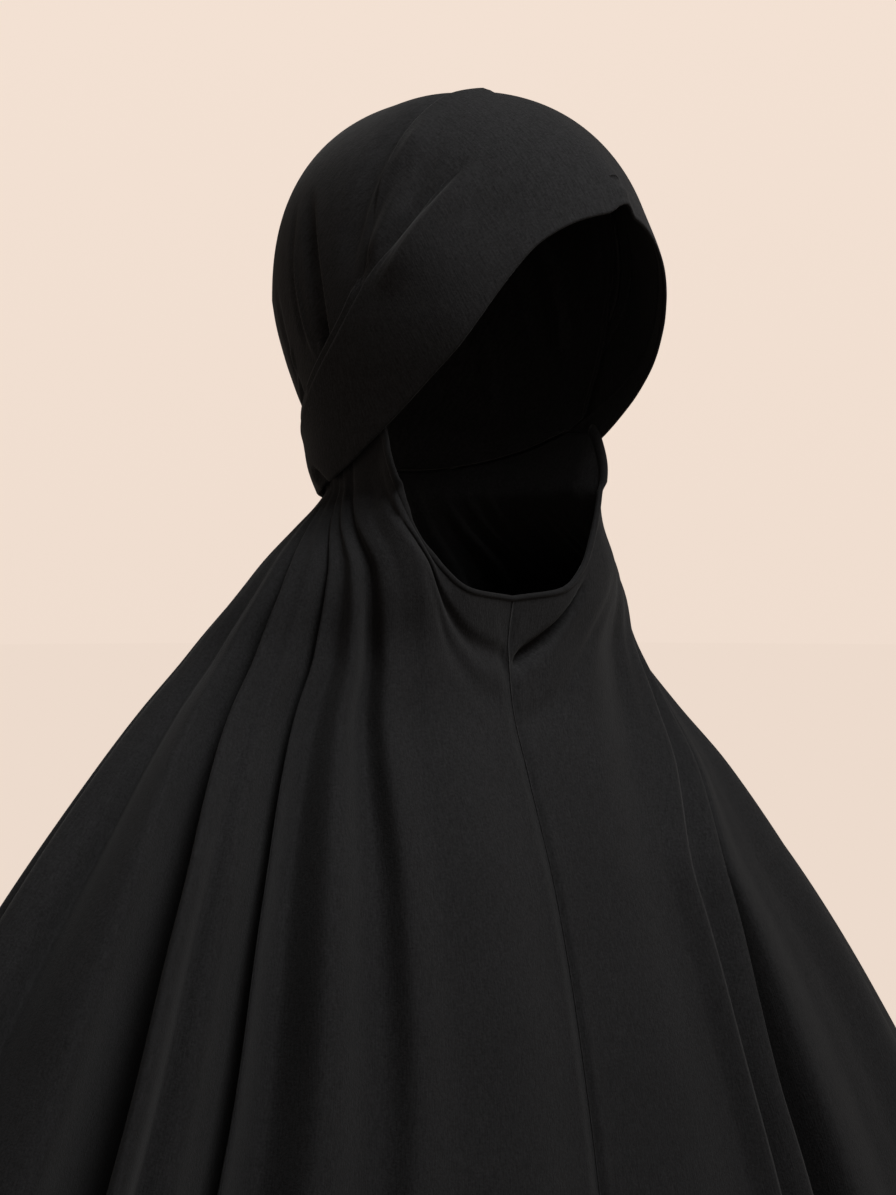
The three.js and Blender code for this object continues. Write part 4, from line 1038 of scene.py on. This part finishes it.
def binding_rings():
    turn = np.linspace(0, BINDING_END, BINDING_STOPS)
    sides = []
    for half in (RIGHT, LEFT):
        edge = cape_top(turn) * (half[0], 1, 1)
        below = cape_points(*half, turn, np.full_like(turn, BINDING_SIGHT))
        up = edge - below
        up[0, 0] = 0  # the seam lies in the middle plane
        sides.append((edge, up))
    edge = np.concatenate([sides[0][0][::-1], sides[1][0][1:]])
    up = np.concatenate([sides[0][1][::-1], sides[1][1][1:]])
    along = unit(np.gradient(edge, axis=0))
    across = unit(np.cross(along, up))
    upright = np.cross(across, along)
    width = np.interp(np.linspace(-1, 1, len(edge)) ** 2, (0, 1), BINDING_WIDTH)[:, None]
    angle = np.linspace(0, 2 * np.pi, BINDING_SIDES, endpoint=False)
    centre = edge + upright * (width / 2 - BINDING_OVERLAP)
    return np.stack(
        [
            centre + upright * width / 2 * math.cos(a) + across * BINDING_THICKNESS / 2 * math.sin(a)
            for a in angle
        ],
        axis=1,
    )


def tube_object(name, rings, material):
    """A closed tube from rings with an even count of points, and a point in the middle of each end."""
    stops, sides = rings.shape[:2]
    number = np.arange(stops * sides).reshape(stops, sides)
    turned = np.roll(number, -1, axis=1)
    walls = np.stack([number[:-1], number[1:], turned[1:], turned[:-1]], -1).reshape(-1, 4)
    middle = np.full(sides // 2, stops * sides)
    begin = np.stack([middle, number[0, ::2], number[0, 1::2], turned[0, 1::2]], -1)
    end = np.stack([middle + 1, turned[-1, 1::2], number[-1, 1::2], number[-1, ::2]], -1)
    vertices = np.concatenate([rings.reshape(-1, 3), rings[[0, -1]].mean(axis=1)]) * MM
    length = np.cumsum(np.linalg.norm(np.diff(rings[:, 0], axis=0, prepend=rings[:1, 0]), axis=-1))
    strips = np.meshgrid(length, np.arange(sides) * BINDING_STRIP, indexing="ij")
    uv = np.stack(strips, -1).reshape(-1, 2) * MM
    return mesh_object(name, vertices, np.concatenate([walls, begin, end]), np.r_[uv, uv[:2]], material)


# The rolled edge wears the darker crepe, which is painted shade for a chin's shadow.
face_binding_cloth = tube_object("face_binding_cloth", binding_rings(), crepe_edge_painted_shade)

# %% [markdown]
# The hem is turned up and held by one row of machine stitches. A repeat like this is work for Geometry
# Nodes: a curve runs round the hem, points are set along it at the stitch spacing, and each point gets a
# short thread that follows the curve. A seeded random turn keeps the row from looking printed. At the end
# the result is made a plain mesh, because the library keeps no live modifiers.


# %% A function that sews a row of stitches
def stitch_nodes():
    tree = bpy.data.node_groups.new("stitch_row", "GeometryNodeTree")
    tree.interface.new_socket("Path", in_out="INPUT", socket_type="NodeSocketGeometry")
    kinds = dict.fromkeys(("Spacing", "Length", "Thickness", "Unevenness"), "NodeSocketFloat")
    kinds["Thread"] = "NodeSocketMaterial"
    sockets = {
        name: tree.interface.new_socket(name, in_out="INPUT", socket_type=kind).identifier
        for name, kind in kinds.items()
    }
    tree.interface.new_socket("Stitches", in_out="OUTPUT", socket_type="NodeSocketGeometry")
    given = tree.nodes.new("NodeGroupInput").outputs
    path = add_node(
        tree, "GeometryNodeResampleCurve", {"mode": "LENGTH"}, Curve=given["Path"], Length=given["Spacing"]
    ).outputs[0]
    size = add_node(
        tree, "ShaderNodeCombineXYZ", X=given["Length"], Y=given["Thickness"], Z=given["Thickness"]
    ).outputs[0]
    bead = add_node(tree, "GeometryNodeMeshIcoSphere", Radius=0.5, Subdivisions=2).outputs["Mesh"]
    thread = add_node(tree, "GeometryNodeTransform", Geometry=bead, Scale=size).outputs[0]
    tangent = add_node(tree, "GeometryNodeInputTangent").outputs[0]
    shake = add_node(
        tree, "FunctionNodeRandomValue", {"data_type": "FLOAT_VECTOR"}, _0=(-1, -1, -1), _1=(1, 1, 1), Seed=7
    ).outputs[0]
    shake = add_node(
        tree, "ShaderNodeVectorMath", {"operation": "SCALE"}, _0=shake, Scale=given["Unevenness"]
    ).outputs[0]
    along = add_node(tree, "ShaderNodeVectorMath", {"operation": "ADD"}, _0=tangent, _1=shake).outputs[0]
    turned = add_node(tree, "FunctionNodeAlignRotationToVector", {"axis": "X"}, Vector=along).outputs[0]
    row = add_node(
        tree, "GeometryNodeInstanceOnPoints", Points=path, Instance=thread, Rotation=turned
    ).outputs[0]
    real = add_node(tree, "GeometryNodeRealizeInstances", Geometry=row).outputs[0]
    coloured = add_node(tree, "GeometryNodeSetMaterial", Geometry=real, Material=given["Thread"]).outputs[0]
    add_node(tree, "NodeGroupOutput", Stitches=coloured)
    return tree, sockets


def sew(name, path, thread, tree, sockets, **sizes):
    """A plain mesh object of stitches along a path in millimetres."""
    curve = bpy.data.curves.new(name + "_path", "CURVE")
    curve.dimensions = "3D"
    spline = curve.splines.new("POLY")
    spline.points.add(len(path) - 1)
    spline.points.foreach_set("co", np.c_[path * MM, np.ones(len(path))].astype(np.float32).ravel())
    guide = add_object(name + "_path", curve)
    modifier = guide.modifiers.new("stitches", "NODES")
    modifier.node_group = tree
    modifier[sockets["Thread"]] = thread
    for key, value in sizes.items():
        modifier[sockets[key]] = value * MM if key != "Unevenness" else value
    evaluated = guide.evaluated_get(bpy.context.evaluated_depsgraph_get())
    mesh = bpy.data.meshes.new_from_object(evaluated)
    bpy.data.objects.remove(guide)
    mesh.shade_smooth()
    print(name, "has", len(mesh.polygons), "triangles")
    return add_object(name, mesh)


# %% [markdown]
# The row runs along the top of the turned hem, on the outside. Its path comes from the same form as the
# cape, so that it follows every fold.

# %% The hem's stitches
STITCH_SPACING, STITCH_LENGTH, STITCH_THICKNESS, STITCH_UNEVENNESS = 3.6, 2.6, 0.55, 0.06
STITCH_STANDOFF = 0.1  # from the cloth's face to the middle of the thread
ROW_START, ROW_END, ROW_STOPS = 0.4, 179.6, 720  # degrees from the front seam
thread_black = crepe_material("black_sewing_thread", "#202021", roughness=0.6, sheen=0.0)
stitch_tree, stitch_sockets = stitch_nodes()


def hem_stitches(name, half):
    turn = np.linspace(ROW_START, ROW_END, ROW_STOPS)
    hem, top_level = hem_level(turn), -cape_top(turn)[:, 2]
    path, below = (
        cape_points(*half, turn, (hem - rise - top_level) / (hem - top_level))
        for rise in (HEM_HEIGHT, HEM_HEIGHT - 1)
    )
    outward = unit(np.cross(np.gradient(path, axis=0), below - path)) * half[0]
    return sew(
        name,
        path + outward * (HEM_THICKNESS / 2 + STITCH_STANDOFF),
        thread_black,
        stitch_tree,
        stitch_sockets,
        Spacing=STITCH_SPACING,
        Length=STITCH_LENGTH,
        Thickness=STITCH_THICKNESS,
        Unevenness=STITCH_UNEVENNESS,
    )


hem_stitches_right = hem_stitches("hem_stitches_right", RIGHT)
hem_stitches_left = hem_stitches("hem_stitches_left", LEFT)

# %% [markdown]
# Each cloth now takes the place of its solid and moves with the veil's one body.

# %% Tie the cloths to the solids
# Flat sizes in metres, as cut. A half of the cape widens from the neck to the hem, so its area is less than
# that of the rectangle round it.
BROW_CUT, CROWN_CUT, CAPE_CUT = (0.52, 0.11), (0.30, 0.20), (1.20, 0.74)
CAPE_CUT_AREA = 0.60  # square metres
sewn_to_right = (face_binding_cloth, hem_stitches_right)
pieces = (
    (brow_cloth, "brow_wrap", BROW_CUT, None, "stretched", ()),
    (crown_cloth, "crown_hood", CROWN_CUT, None, "stretched", ()),
    (cape_right_cloth, "cape_right", CAPE_CUT, CAPE_CUT_AREA, "draped", sewn_to_right),
    (cape_left_cloth, "cape_left", CAPE_CUT, CAPE_CUT_AREA, "draped", (hem_stitches_left,)),
)
for piece, node, flat, area, held, sewn_on in pieces:
    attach(piece, "root")
    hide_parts(node)
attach(face_binding_cloth, "root")
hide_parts("face_binding")
for stitches in (hem_stitches_right, hem_stitches_left):
    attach(stitches, "root")
